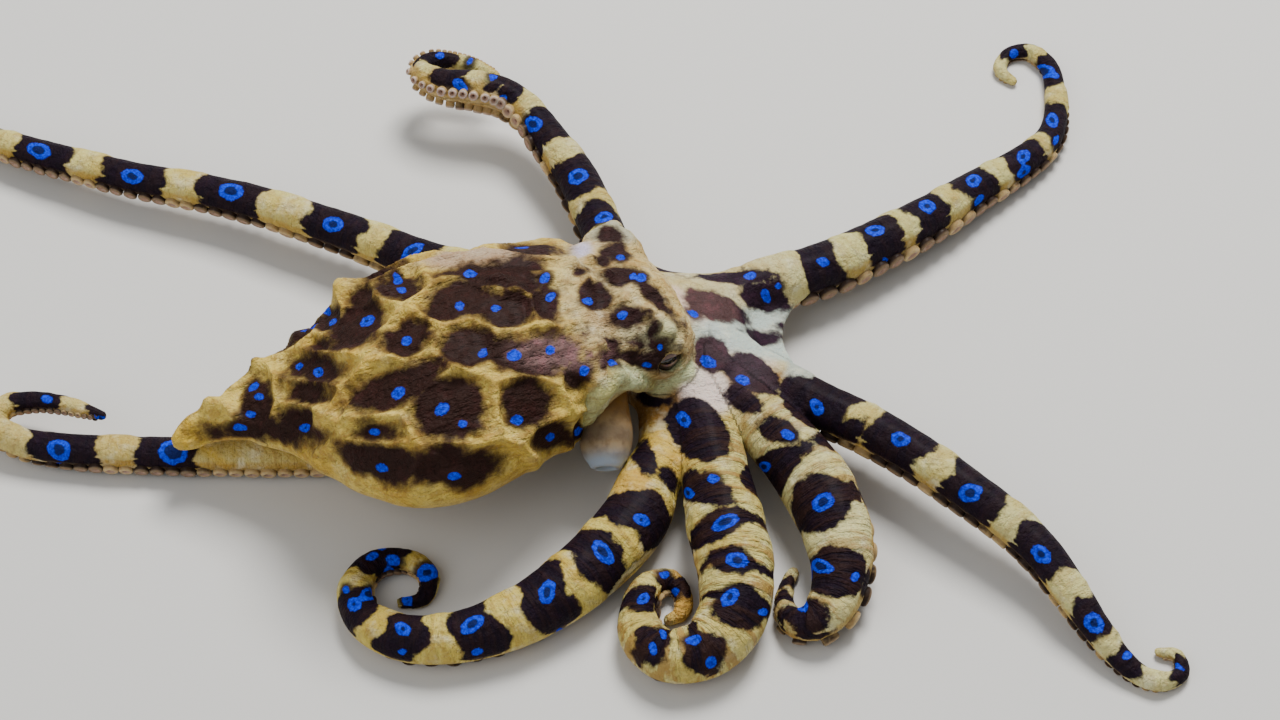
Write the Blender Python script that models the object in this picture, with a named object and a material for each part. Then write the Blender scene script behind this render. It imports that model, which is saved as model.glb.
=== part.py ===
"""Southern blue-ringed octopus, life size, resting on a flat floor with its arms spread.

The head looks along +X and the animal's left side is towards +Y. Every size below is in
millimetres and is measured from the point on the floor under the middle of the crown of arms.
make_object() turns millimetres into metres about the middle of the animal's footprint.
"""

import math
import random

import bmesh
import bpy
from mathutils import Vector

MM = 0.001
GAP = 0.3
CLEARANCE = 0.35
HEAD_CLEARANCE = 0.46
FOOTPRINT_CENTRE = Vector((-20.54, 1.32, 0.0))
AHEAD = Vector((1.0, 0.0, 0.0))
LEFT = Vector((0.0, 1.0, 0.0))
UP = Vector((0.0, 0.0, 1.0))

# Arms: width and thickness of the section, as shares of the radius at that place.
ARM_SIDES = 8
ARM_WIDTH = 1.0
DORSAL_DEPTH = 0.95
ORAL_DEPTH = 0.82
RING_STEP = 3.4
FINE_STEP = 0.25

# Suckers: two rows that alternate along the oral side of each arm.
SUCKER_SIDES = 5
SUCKER_RADIUS_SHARE = 0.42
SUCKER_LEAST_RADIUS = 0.3
SUCKER_MOST_RADIUS = 1.05
SUCKER_SPACING_SHARE = 2.3
SUCKER_LEAST_SPACING = 1.35
SUCKER_ROW_ANGLE = math.radians(37.0)
SUCKER_HEIGHT_SHARE = 0.8
SUCKER_ROOT_SHARE = 0.45
SUCKER_WAIST = 0.6
SUCKER_CUP = 0.55
SUCKER_CUP_DEPTH = 0.3
SUCKER_VARIATION = 0.08
SUCKER_MARGIN = 0.25
BEND_SPAN = 2.0
BEND_ROOM = 1.8
FIRST_SUCKER_SHARE = 0.35
FLOOR_PRESS = 0.15
FLOOR_BLOCK = (150.0, 100.0, 30.0)

# Mantle and head, as stations from back to front:
# x, y, height of the middle, half width, half height, heading in degrees.
BODY_SIDES = 18
MANTLE_STATIONS = (
    (-47.6, -15.9, 6.0, 0.6, 0.6, 25),
    (-46.6, -15.4, 6.4, 1.2, 1.1, 25),
    (-44.0, -14.3, 7.2, 2.1, 1.7, 20),
    (-40.0, -13.2, 8.3, 3.8, 2.7, 10),
    (-35.0, -13.0, 9.6, 6.7, 4.2, 2),
    (-31.5, -13.3, 10.9, 9.9, 5.7, 0),
    (-28.5, -13.5, 12.0, 12.7, 6.8, 0),
    (-24.5, -13.7, 12.9, 14.4, 7.8, 0),
    (-20.5, -13.7, 13.3, 15.0, 8.3, 0),
    (-16.5, -13.0, 13.4, 14.8, 8.3, 4),
    (-12.3, -11.2, 13.2, 13.7, 7.9, 6),
    (-8.5, -8.9, 12.7, 12.05, 6.9, 0),
)
HEAD_STATIONS = (
    (-8.2, -8.75, 12.65, 11.85, 6.85, 0),
    (-6.2, -6.8, 12.4, 9.9, 6.4, 8),
    (-3.9, -5.0, 12.4, 8.9, 5.7, 16),
    (-1.6, -3.6, 12.4, 8.3, 5.1, 25),
    (0.8, -2.8, 11.9, 7.4, 4.5, 25),
    (2.6, -2.2, 11.2, 5.4, 3.5, 25),
    (3.7, -1.8, 10.5, 2.6, 1.8, 25),
)

# Eyes: a ball in a socket on each side of the head, with a raised lid round the opening.
EYES = {"eye_right": (2.3, -8.4, 11.1), "eye_left": (-3.4, 4.0, 13.4)}
EYE_OUTWARD = {"eye_right": (0.42, -0.84, 0.35), "eye_left": (-0.42, 0.84, 0.35)}
EYE_RADIUS = 1.9
TURRET_RADIUS = 3.3
TURRET_INSET = 1.3
LID_SHARE = 0.72
LID_RADIUS = 1.75
LID_THICKNESS = 0.5
BROW_RADIUS = 1.2
BROW_LIFT = 2.6

# Funnel: x, y, height, radius along its length from the head down to its mouth.
FUNNEL_ROUTE = (
    (-2.7, -11.4, 9.7, 1.3),
    (-3.1, -13.4, 8.8, 2.0),
    (-3.4, -15.2, 8.0, 2.6),
    (-3.5, -16.9, 7.2, 2.75),
    (-3.5, -18.3, 6.5, 2.4),
    (-3.5, -19.1, 6.1, 1.8),
)
FUNNEL_SIDES = 12
FUNNEL_BORE_RADIUS = 1.3
FUNNEL_BORE_START = 1.0
FUNNEL_BORE_DEPTH = 5.0

# Crown: the low dome that the arms grow from, and the mouth under it.
DOME_CENTRE = (2.6, -1.6, 5.4)
DOME_RADII = (9.2, 8.6, 4.5)
LIP_RADIUS = 2.0
LIP_THICKNESS = 0.7
LIP_HEIGHT = 1.1
MOUTH_RADIUS = 1.2
MOUTH_SIDES = 8
MOUTH_FROM = -2.0
MOUTH_TO = 2.5
WEB_THICKNESS = 0.9
WEB_EDGE_CURVE = 0.32
WEB_SAG = 1.0

# Arms, in order round the crown.
# route: x, y, lift of the underside over the floor and radius, from the crown to the tip.
# reach: how far along it the arm is part of the crown. lengths: how many pieces the rest has.
# turns: shares of the arm's length, each with the angle in degrees by which the oral side turns
# from straight down towards the right hand of someone who walks along the arm to its tip.
ARMS = {
    "arm_left_1": {
        "route": (
            (5.5, 2.2, 2.4, 2.8),
            (13.0, 6.2, 1.9, 2.9),
            (19.8, 9.4, 1.2, 2.9),
            (26.0, 13.5, 0.8, 2.75),
            (31.8, 17.8, 0.5, 2.5),
            (37.1, 22.5, 0.2, 2.2),
            (42.4, 26.9, 0.0, 1.9),
            (45.9, 30.9, 0.0, 1.6),
            (47.1, 35.3, 0.0, 1.35),
            (47.3, 39.2, 0.0, 1.2),
            (46.9, 43.0, 0.0, 1.05),
            (44.9, 45.5, 0.0, 0.95),
            (42.3, 45.2, 0.0, 0.8),
            (41.3, 42.8, 0.0, 0.65),
            (42.7, 41.2, 0.0, 0.45),
        ),
        "reach": 16.0,
        "lengths": 5,
        "turns": ((0.0, 20), (0.3, 38), (0.7, 32), (1.0, -20)),
    },
    "arm_left_2": {
        "route": (
            (1.0, 3.2, 2.6, 2.6),
            (-2.6, 9.7, 2.4, 2.5),
            (-4.6, 15.7, 2.3, 2.4),
            (-7.0, 22.3, 2.3, 2.3),
            (-9.8, 27.4, 2.5, 2.15),
            (-12.2, 31.2, 3.1, 2.0),
            (-15.0, 33.5, 3.7, 2.1),
            (-18.6, 34.2, 4.3, 2.1),
            (-22.2, 34.9, 4.5, 1.85),
            (-24.6, 36.7, 4.8, 1.45),
            (-23.7, 38.8, 5.0, 1.15),
            (-21.2, 39.1, 5.0, 0.95),
            (-18.6, 38.5, 4.9, 0.8),
            (-16.3, 37.4, 4.8, 0.5),
        ),
        "reach": 7.5,
        "lengths": 5,
        "turns": ((0.0, 0), (0.35, -15), (0.5, -50), (0.62, -80), (1.0, -75)),
    },
    "arm_left_3": {
        "route": (
            (-1.0, 1.4, 2.3, 2.7),
            (-8.6, 6.0, 2.2, 2.6),
            (-15.6, 7.2, 2.2, 2.55),
            (-22.7, 9.4, 2.3, 2.45),
            (-28.2, 12.3, 2.3, 2.3),
            (-33.5, 14.9, 2.3, 2.2),
            (-39.5, 17.7, 2.2, 2.1),
            (-45.1, 19.9, 2.0, 2.05),
            (-50.8, 21.7, 1.8, 1.95),
            (-56.2, 23.2, 1.6, 1.9),
            (-61.7, 25.4, 1.3, 1.85),
            (-67.1, 27.5, 1.0, 1.8),
            (-72.2, 29.9, 0.7, 1.65),
            (-77.6, 32.3, 0.3, 1.4),
            (-83.3, 34.2, 0.0, 1.1),
            (-88.9, 34.6, 0.0, 0.85),
            (-93.4, 33.1, 0.0, 0.6),
            (-96.0, 30.3, 0.0, 0.4),
        ),
        "reach": 8.5,
        "lengths": 5,
        "turns": ((0.0, 0), (0.4, -25), (0.7, -40), (1.0, -25)),
    },
    "arm_left_4": {
        "route": (
            (0.0, -3.1, 2.0, 2.7),
            (-6.6, -6.8, 0.6, 2.3),
            (-13.0, -10.0, 0.2, 2.1),
            (-21.0, -12.9, 0.0, 2.05),
            (-29.0, -14.4, 0.0, 2.0),
            (-36.0, -14.7, 0.0, 2.0),
            (-42.1, -14.7, 0.0, 1.95),
            (-48.6, -14.6, 0.0, 1.9),
            (-55.1, -14.3, 0.0, 1.85),
            (-60.6, -13.9, 0.2, 1.75),
            (-65.1, -13.0, 0.6, 1.55),
            (-67.9, -11.1, 1.2, 1.35),
            (-66.9, -9.0, 1.9, 1.2),
            (-64.0, -8.7, 2.5, 1.1),
            (-61.0, -9.3, 2.9, 1.0),
            (-58.4, -10.2, 3.2, 0.8),
            (-56.4, -10.9, 3.4, 0.5),
        ),
        "reach": 6.5,
        "lengths": 5,
        "turns": ((0.0, 0), (0.3, -30), (0.7, -35), (0.85, 20), (1.0, 65)),
    },
    "arm_right_4": {
        "route": (
            (2.4, -5.0, 2.3, 2.9),
            (2.8, -10.4, 1.7, 2.9),
            (2.7, -15.4, 1.0, 2.9),
            (0.9, -20.1, 0.8, 3.1),
            (-0.5, -24.6, 0.5, 3.5),
            (-3.9, -29.4, 0.3, 3.45),
            (-7.8, -33.3, 0.1, 3.3),
            (-12.6, -36.6, 0.0, 2.95),
            (-18.1, -38.6, 0.0, 2.6),
            (-23.5, -38.6, 0.0, 2.35),
            (-27.7, -36.0, 0.0, 2.0),
            (-29.0, -31.9, 0.0, 1.7),
            (-27.1, -28.5, 0.0, 1.45),
            (-23.9, -27.9, 0.0, 1.2),
            (-21.6, -29.7, 0.0, 1.0),
            (-22.0, -32.3, 0.0, 0.8),
            (-24.2, -32.8, 0.0, 0.55),
        ),
        "reach": 15.0,
        "lengths": 6,
        "turns": ((0.0, 0), (0.3, 15), (0.6, 25), (1.0, 30)),
    },
    "arm_right_3": {
        "route": (
            (4.0, -4.6, 2.5, 2.9),
            (5.7, -10.0, 2.3, 3.0),
            (6.9, -15.2, 1.8, 3.3),
            (7.9, -20.4, 1.2, 3.6),
            (8.7, -25.8, 0.7, 4.0),
            (9.6, -31.2, 0.4, 3.95),
            (9.4, -36.3, 0.2, 3.5),
            (6.9, -40.1, 0.0, 3.0),
            (2.9, -41.0, 0.0, 2.6),
            (0.3, -38.5, 0.0, 2.25),
            (-0.2, -34.9, 0.0, 1.9),
            (0.9, -31.6, 0.0, 1.55),
            (3.0, -30.5, 0.0, 1.25),
            (4.4, -32.0, 0.0, 0.95),
            (4.2, -34.2, 0.0, 0.75),
            (2.9, -34.9, 0.0, 0.5),
        ),
        "reach": 16.0,
        "lengths": 6,
        "turns": ((0.0, 0), (0.4, 10), (0.6, 25), (1.0, 40)),
    },
    "arm_right_2": {
        "route": (
            (5.4, -4.0, 2.5, 2.9),
            (9.8, -9.0, 2.2, 3.1),
            (13.8, -14.0, 1.7, 3.4),
            (17.2, -19.1, 1.1, 3.7),
            (19.6, -24.4, 0.7, 3.7),
            (20.5, -29.2, 0.4, 3.3),
            (20.0, -33.3, 0.1, 2.8),
            (18.1, -36.2, 0.0, 2.2),
            (15.7, -36.1, 0.0, 1.6),
            (14.7, -33.6, 0.0, 1.05),
            (14.9, -31.0, 0.0, 0.8),
            (15.7, -28.9, 0.0, 0.5),
        ),
        "reach": 16.0,
        "lengths": 4,
        "turns": ((0.0, 0), (0.35, -35), (0.7, -35), (1.0, 0)),
    },
    "arm_right_1": {
        "route": (
            (6.0, -2.8, 2.8, 2.8),
            (12.6, -7.0, 2.9, 2.7),
            (18.8, -11.1, 3.0, 2.6),
            (24.0, -14.3, 3.1, 2.5),
            (29.0, -18.1, 3.2, 2.4),
            (34.0, -22.6, 3.2, 2.3),
            (37.7, -25.9, 2.8, 2.2),
            (41.0, -29.6, 2.3, 2.05),
            (43.5, -33.5, 1.6, 1.85),
            (45.7, -37.0, 0.9, 1.6),
            (47.6, -39.7, 0.4, 1.3),
            (49.7, -41.8, 0.0, 1.1),
            (52.1, -42.8, 0.0, 0.95),
            (54.3, -41.6, 0.0, 0.8),
            (54.1, -39.4, 0.0, 0.65),
            (52.3, -38.9, 0.0, 0.45),
        ),
        "reach": 16.5,
        "lengths": 5,
        "turns": ((0.0, 0), (0.4, 25), (0.75, 20), (1.0, -40)),
    },
}

# Webs: the two arms that each joins, and how far along each it reaches.
WEBS = (
    ("arm_left_1", "arm_left_2", 10.0, 6.5),
    ("arm_left_2", "arm_left_3", 6.5, 7.5),
    ("arm_left_3", "arm_left_4", 7.0, 5.5),
    ("arm_left_4", "arm_right_4", 5.5, 8.0),
    ("arm_right_4", "arm_right_3", 14.0, 14.0),
    ("arm_right_3", "arm_right_2", 14.0, 14.0),
    ("arm_right_2", "arm_right_1", 14.5, 13.0),
    ("arm_right_1", "arm_left_1", 15.5, 15.0),
)
WEB_ALONG = 4
WEB_ACROSS = 4

SKINS = {
    "mantle": ((0.60, 0.46, 0.20), 0.38),
    "head": ((0.45, 0.33, 0.20), 0.38),
    "funnel": ((0.78, 0.70, 0.55), 0.30),
    "crown": ((0.55, 0.47, 0.38), 0.38),
    "eye_left": ((0.10, 0.07, 0.04), 0.12),
    "eye_right": ((0.10, 0.07, 0.04), 0.12),
}
ARM_PALE = (0.68, 0.58, 0.36)
ARM_DARK = (0.06, 0.04, 0.07)
ARM_ROUGHNESS = 0.36


def clear_scene():
    for item in list(bpy.data.objects):
        bpy.data.objects.remove(item, do_unlink=True)


def make_material(name, colour, roughness):
    material = bpy.data.materials.new(name)
    material.use_nodes = True
    shader = material.node_tree.nodes["Principled BSDF"]
    shader.inputs["Base Color"].default_value = (*colour, 1.0)
    shader.inputs["Roughness"].default_value = roughness
    shader.inputs["Metallic"].default_value = 0.0
    return material


def make_object(name, points, faces):
    """A mesh object in metres, from points in millimetres."""
    mesh = bpy.data.meshes.new(name)
    mesh.from_pydata([(point - FOOTPRINT_CENTRE) * MM for point in points], [], faces)
    mesh.update()
    item = bpy.data.objects.new(name, mesh)
    bpy.context.scene.collection.objects.link(item)
    return item


def loft(name, rings):
    """A closed skin over rings of equal count, each anticlockwise seen from the far end."""
    count = len(rings[0])
    points = [point for ring in rings for point in ring]
    faces = []
    for row in range(len(rings) - 1):
        for i in range(count):
            j = (i + 1) % count
            a = row * count
            b = a + count
            faces.append((a + i, a + j, b + j, b + i))
    last = (len(rings) - 1) * count
    faces.append(tuple(reversed(range(count))))
    faces.append(tuple(range(last, last + count)))
    return make_object(name, points, faces)


def oval(centre, side, top, half_width, half_height, count):
    """Points round an ellipse, anticlockwise seen with side to the right and top upwards."""
    ring = []
    for i in range(count):
        angle = math.tau * i / count
        ring.append(
            centre + side * (half_width * math.cos(angle)) + top * (half_height * math.sin(angle))
        )
    return ring


def ball(name, centre, radii, segments=12, rings=8):
    """A closed ellipsoid."""
    shape = bmesh.new()
    bmesh.ops.create_uvsphere(shape, u_segments=segments, v_segments=rings, radius=1.0)
    points = []
    for corner in shape.verts:
        points.append(Vector(centre) + Vector([a * b for a, b in zip(corner.co, radii)]))
    faces = [tuple(corner.index for corner in face.verts) for face in shape.faces]
    shape.free()
    return make_object(name, points, faces)


def hoop(name, centre, axis, radius, thickness, segments=12, sides=5):
    """A closed ring of round section about an axis."""
    axis = Vector(axis).normalized()
    across = axis.orthogonal().normalized()
    beside = axis.cross(across)
    points = []
    for i in range(segments):
        angle = math.tau * i / segments
        out = across * math.cos(angle) + beside * math.sin(angle)
        for j in range(sides):
            bend = math.tau * j / sides
            reach = radius + thickness * math.cos(bend)
            points.append(Vector(centre) + out * reach + axis * (thickness * math.sin(bend)))
    faces = []
    for i in range(segments):
        for j in range(sides):
            a = i * sides + j
            b = i * sides + (j + 1) % sides
            c = ((i + 1) % segments) * sides + (j + 1) % sides
            d = ((i + 1) % segments) * sides + j
            faces.append((a, d, c, b))
    return make_object(name, points, faces)


def applied(item):
    """Bakes an object's modifiers into its mesh."""
    graph = bpy.context.evaluated_depsgraph_get()
    mesh = bpy.data.meshes.new_from_object(item.evaluated_get(graph))
    item.modifiers.clear()
    item.data = mesh
    return item


def remove_object(item):
    bpy.data.objects.remove(item, do_unlink=True)


def unite(name, pieces):
    """One object from closed pieces that overlap."""
    whole = pieces[0]
    whole.name = name
    group = bpy.data.collections.new(name + "_pieces")
    for piece in pieces[1:]:
        group.objects.link(piece)
    join = whole.modifiers.new("join", "BOOLEAN")
    join.operation = "UNION"
    join.operand_type = "COLLECTION"
    join.collection = group
    join.solver = "MANIFOLD"
    applied(whole)
    for piece in pieces[1:]:
        remove_object(piece)
    bpy.data.collections.remove(group)
    return whole


def carve(item, cutters):
    """Takes closed cutters away from an object and removes them."""
    for cutter in cutters:
        cutter.hide_render = True
        cutter.display_type = "WIRE"
        cut = item.modifiers.new("cut", "BOOLEAN")
        cut.operation = "DIFFERENCE"
        cut.object = cutter
        cut.solver = "MANIFOLD"
        applied(item)
        remove_object(cutter)
    return item


def keep_largest(item):
    """Leaves only the surface with the most volume."""
    shape = bmesh.new()
    shape.from_mesh(item.data)
    seen = set()
    bodies = []
    for start in shape.verts:
        if start in seen:
            continue
        seen.add(start)
        stack = [start]
        body = []
        while stack:
            corner = stack.pop()
            body.append(corner)
            for edge in corner.link_edges:
                other = edge.other_vert(corner)
                if other not in seen:
                    seen.add(other)
                    stack.append(other)
        bodies.append(body)
    bodies.sort(key=enclosed_volume)
    bmesh.ops.delete(shape, geom=[v for body in bodies[:-1] for v in body], context="VERTS")
    shape.to_mesh(item.data)
    shape.free()
    return item


def enclosed_volume(body):
    faces = {face for corner in body for face in corner.link_faces}
    total = 0.0
    for face in faces:
        corners = [corner.co for corner in face.verts]
        for second, third in zip(corners[1:], corners[2:]):
            total += corners[0].dot(second.cross(third))
    return total


def floor_block():
    """The space under the floor."""
    half_length, half_width, depth = FLOOR_BLOCK
    low = Vector((-half_length, -half_width, -depth))
    high = Vector((half_length, half_width, 0.0))
    points = [
        Vector((x, y, z)) for x in (low.x, high.x) for y in (low.y, high.y) for z in (low.z, high.z)
    ]
    faces = [(0, 1, 3, 2), (4, 6, 7, 5), (0, 4, 5, 1), (2, 3, 7, 6), (0, 2, 6, 4), (1, 5, 7, 3)]
    return make_object("floor_block", points, faces)


def set_on_floor(item):
    """Cuts a small flat where the object would pass below the floor."""
    if min(corner.co.z for corner in item.data.vertices) < 0.0:
        carve(item, [floor_block()])
    return item


def finish(item, colour, roughness):
    material = make_material(item.name, colour, roughness)
    item.data.materials.clear()
    item.data.materials.append(material)
    item.data.shade_smooth()
    item.data.set_sharp_from_angle(angle=math.radians(40.0))
    return item


def station_rings(stations, grow=0.0):
    """Oval sections across a body, larger all round and longer at both ends by grow."""
    rings = []
    shifts = [-grow] + [0.0] * (len(stations) - 2) + [grow]
    for (x, y, height, half_width, half_height, heading), shift in zip(stations, shifts):
        turn = math.radians(heading)
        ahead = Vector((math.cos(turn), math.sin(turn), 0.0))
        middle = Vector((x, y, height)) + ahead * shift
        side = UP.cross(ahead)
        rings.append(oval(middle, side, UP, half_width + grow, half_height + grow, BODY_SIDES))
    return rings


def smooth_route(points):
    """Fine points on a smooth curve through all the points, each with its distance along it."""
    knots = [Vector(point) for point in points]
    knots = [knots[0] * 2 - knots[1], *knots, knots[-1] * 2 - knots[-2]]
    fine = []
    for a, b, c, d in zip(knots, knots[1:], knots[2:], knots[3:]):
        steps = max(2, round((c - b).length / FINE_STEP))
        for i in range(steps):
            t = i / steps
            fine.append(
                (
                    b * 2
                    + (c - a) * t
                    + (a * 2 - b * 5 + c * 4 - d) * t**2
                    + (b * 3 - a - c * 3 + d) * t**3
                )
                / 2
            )
    fine.append(knots[-2])
    along = [0.0]
    for before, after in zip(fine, fine[1:]):
        along.append(along[-1] + (after.xyz - before.xyz).length)
    return fine, along


class Arm:
    """One arm's middle line, which gives the place, size and frame at any distance along it."""

    def __init__(self, name):
        plan = ARMS[name]
        self.name = name
        self.fine, self.along = smooth_route(plan["route"])
        for point in self.fine:
            point.z += lying_height(point.w)
        self.total = self.along[-1]
        self.reach = plan["reach"]
        self.lengths = plan["lengths"]
        self.turns = plan["turns"]

    def spot(self, distance):
        """Middle point and radius."""
        index = 0
        while index < len(self.along) - 2 and self.along[index + 1] < distance:
            index += 1
        span = self.along[index + 1] - self.along[index]
        mixed = self.fine[index].lerp(self.fine[index + 1], (distance - self.along[index]) / span)
        return mixed.xyz, mixed.w

    def turn(self, distance):
        """Angle of the oral side from straight down."""
        share = distance / self.total
        for (start, before), (end, after) in zip(self.turns, self.turns[1:]):
            if share <= end:
                break
        share = min(max((share - start) / (end - start), 0.0), 1.0)
        return math.radians(before + (after - before) * share)

    def frame(self, distance):
        """Directions along the arm, to its left side and out of its oral side."""
        step = FINE_STEP * 2
        before = self.spot(max(distance - step, 0.0))[0]
        after = self.spot(min(distance + step, self.total))[0]
        ahead = (after - before).normalized()
        right = ahead.cross(UP).normalized()
        down = ahead.cross(right)
        turn = self.turn(distance)
        oral = down * math.cos(turn) + right * math.sin(turn)
        return ahead, ahead.cross(oral), oral

    def ring(self, distance, faced):
        """Section at a distance, square to the arm's direction at another distance near it."""
        middle, radius = self.spot(distance)
        _, side, oral = self.frame(faced)
        points = []
        for i in range(ARM_SIDES):
            angle = math.tau * (i + 0.5) / ARM_SIDES
            rise = math.sin(angle)
            depth = DORSAL_DEPTH if rise > 0.0 else ORAL_DEPTH
            across = side * (ARM_WIDTH * radius * math.cos(angle))
            points.append(middle + across - oral * (depth * radius * rise))
        return points

    def tube(self, name, start, end):
        """The arm between two distances, with flat ends."""
        count = max(2, math.ceil((end - start) / RING_STEP) + 1)
        inner = [start + (end - start) * i / (count - 1) for i in range(1, count - 1)]
        rings = [self.ring(start, start - GAP / 2)]
        rings += [self.ring(distance, distance) for distance in inner]
        rings.append(self.ring(end, end + GAP / 2))
        return loft(name, rings)

    def suckers(self, start, end, chance):
        """Two alternating rows of suckers between two distances."""
        size = sucker_radius(self.spot((start + end) / 2)[1])
        spacing = max(size * SUCKER_SPACING_SHARE, SUCKER_LEAST_SPACING)
        first = start + self.sucker_margin(start)
        last = end - self.sucker_margin(end)
        count = max(2, round((last - first) / spacing) + 1)
        made = []
        for i in range(count):
            row = 1 if i % 2 else -1
            distance = first + (last - first) * i / (count - 1)
            made.append(self.sucker(f"{self.name}_sucker", distance, row, chance))
        return made

    def sucker_margin(self, distance):
        """Room that a sucker needs beside a length's end, more where the arm bends."""
        radius = self.spot(distance)[1]
        before = self.frame(distance - BEND_SPAN / 2)[0]
        after = self.frame(distance + BEND_SPAN / 2)[0]
        bend = before.angle(after) / BEND_SPAN
        return (sucker_radius(radius) + SUCKER_MARGIN) * (1.0 + BEND_ROOM * bend * radius)

    def sucker(self, name, distance, row, chance):
        """A flared cup on the oral side, with its root sunk in the arm."""
        middle, radius = self.spot(distance)
        ahead, side, oral = self.frame(distance)
        angle = row * SUCKER_ROW_ANGLE
        out = oral * math.cos(angle) + side * math.sin(angle)
        beside = out.cross(ahead)
        size = sucker_radius(radius) * (1.0 + chance.uniform(-SUCKER_VARIATION, SUCKER_VARIATION))
        surface = radius * ORAL_DEPTH
        rim = surface + size * SUCKER_HEIGHT_SHARE
        profile = (
            (surface * SUCKER_ROOT_SHARE, size * SUCKER_WAIST),
            (rim, size),
            (rim - size * SUCKER_CUP_DEPTH, size * SUCKER_CUP),
        )
        rings = [
            oval(middle + out * height, ahead, beside, width, width, SUCKER_SIDES)
            for height, width in profile
        ]
        return loft(name, rings)


def sucker_radius(arm_radius):
    share = arm_radius * SUCKER_RADIUS_SHARE
    return min(max(share, SUCKER_LEAST_RADIUS), SUCKER_MOST_RADIUS)


def lying_height(arm_radius):
    """Height of an arm's middle line where its suckers press lightly on the floor."""
    stalk = sucker_radius(arm_radius) * SUCKER_HEIGHT_SHARE
    return arm_radius * ORAL_DEPTH + stalk - FLOOR_PRESS


def make_mantle():
    mantle = loft("mantle", station_rings(MANTLE_STATIONS))
    return finish(mantle, *SKINS["mantle"])


def head_pieces(grow=0.0):
    """The closed pieces that make up the head, larger all round by grow."""
    pieces = [loft("head", station_rings(HEAD_STATIONS, grow))]
    for name, centre in EYES.items():
        outward = Vector(EYE_OUTWARD[name]).normalized()
        inset = Vector(centre) - outward * TURRET_INSET
        radius = TURRET_RADIUS + grow
        pieces.append(ball(name + "_turret", inset, (radius, radius, radius)))
        rim = Vector(centre) + outward * EYE_RADIUS * LID_SHARE
        pieces.append(hoop(name + "_lid", rim, outward, LID_RADIUS, LID_THICKNESS + grow))
        brow = Vector(centre) + (UP - outward * outward.z).normalized() * BROW_LIFT
        radius = BROW_RADIUS + grow
        pieces.append(ball(name + "_brow", brow, (radius, radius, radius), 8, 6))
    return pieces


def make_head():
    socket = (EYE_RADIUS + CLEARANCE,) * 3
    sockets = [ball(name + "_socket", centre, socket) for name, centre in EYES.items()]
    head = carve(unite("head", head_pieces()), sockets)
    carve(head, [mantle_clearance()])
    return finish(keep_largest(head), *SKINS["head"])


def mantle_clearance():
    """The mantle and the gap round it."""
    return loft("mantle_clearance", station_rings(MANTLE_STATIONS, CLEARANCE))


def make_eyes():
    for name, centre in EYES.items():
        eye = ball(name, centre, (EYE_RADIUS,) * 3)
        finish(eye, *SKINS[name])


def funnel_body(name, grow=0.0):
    """A short tube, solid yet, that widens to its mouth."""
    middles = [Vector(point).xyz for point in FUNNEL_ROUTE]
    middles[0] += (middles[0] - middles[1]).normalized() * grow
    middles[-1] += (middles[-1] - middles[-2]).normalized() * grow
    rings = []
    for i, station in enumerate(FUNNEL_ROUTE):
        before = middles[max(i - 1, 0)]
        after = middles[min(i + 1, len(middles) - 1)]
        ahead = (after - before).normalized()
        side = UP.cross(ahead).normalized()
        radius = station[3] + grow
        rings.append(oval(middles[i], side, ahead.cross(side), radius, radius, FUNNEL_SIDES))
    return loft(name, rings)


def make_funnel():
    """The funnel, open at its end."""
    funnel = funnel_body("funnel")
    middles = [Vector(point).xyz for point in FUNNEL_ROUTE]
    mouth = middles[-1]
    inward = (middles[-2] - mouth).normalized()
    side = UP.cross(inward).normalized()
    bore = [
        oval(
            mouth + inward * depth,
            side,
            inward.cross(side),
            FUNNEL_BORE_RADIUS,
            FUNNEL_BORE_RADIUS,
            FUNNEL_SIDES,
        )
        for depth in (-FUNNEL_BORE_START, FUNNEL_BORE_DEPTH)
    ]
    carve(funnel, [loft("funnel_bore", bore)])
    carve(funnel, [*head_pieces(HEAD_CLEARANCE), mantle_clearance()])
    return finish(keep_largest(funnel), *SKINS["funnel"])


def web(first, second, first_reach, second_reach):
    """A thin sheet between two arms' middle lines, with a concave free edge."""
    upper = []
    for i in range(WEB_ALONG + 1):
        for j in range(WEB_ACROSS + 1):
            share = j / WEB_ACROSS
            middle = 4.0 * share * (1.0 - share)
            out = i / WEB_ALONG * (1.0 - WEB_EDGE_CURVE * middle)
            a = first.spot(first_reach * out)[0]
            b = second.spot(second_reach * out)[0]
            point = a.lerp(b, share)
            point.z -= WEB_SAG * middle * out
            upper.append(point)
    half = Vector((0.0, 0.0, WEB_THICKNESS / 2))
    points = [point + half for point in upper] + [point - half for point in upper]
    width = WEB_ACROSS + 1
    count = len(upper)
    faces = []
    for i in range(WEB_ALONG):
        for j in range(WEB_ACROSS):
            a = i * width + j
            b = a + 1
            c = a + width + 1
            d = a + width
            for corners in ((a, b, c), (a, c, d)):
                faces.append(tuple(reversed(corners)))
                faces.append(tuple(corner + count for corner in corners))
    last = WEB_ALONG * width
    border = list(range(width))
    border += [row * width + WEB_ACROSS for row in range(1, WEB_ALONG + 1)]
    border += [last + j for j in reversed(range(WEB_ACROSS))]
    border += [row * width for row in reversed(range(1, WEB_ALONG))]
    for a, b in zip(border, border[1:] + border[:1]):
        faces.append((a, b, b + count, a + count))
    sheet = make_object(f"web_{first.name}", points, faces)
    return face_outwards(sheet)


def face_outwards(item):
    shape = bmesh.new()
    shape.from_mesh(item.data)
    bmesh.ops.recalc_face_normals(shape, faces=shape.faces)
    shape.to_mesh(item.data)
    shape.free()
    return item


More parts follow.
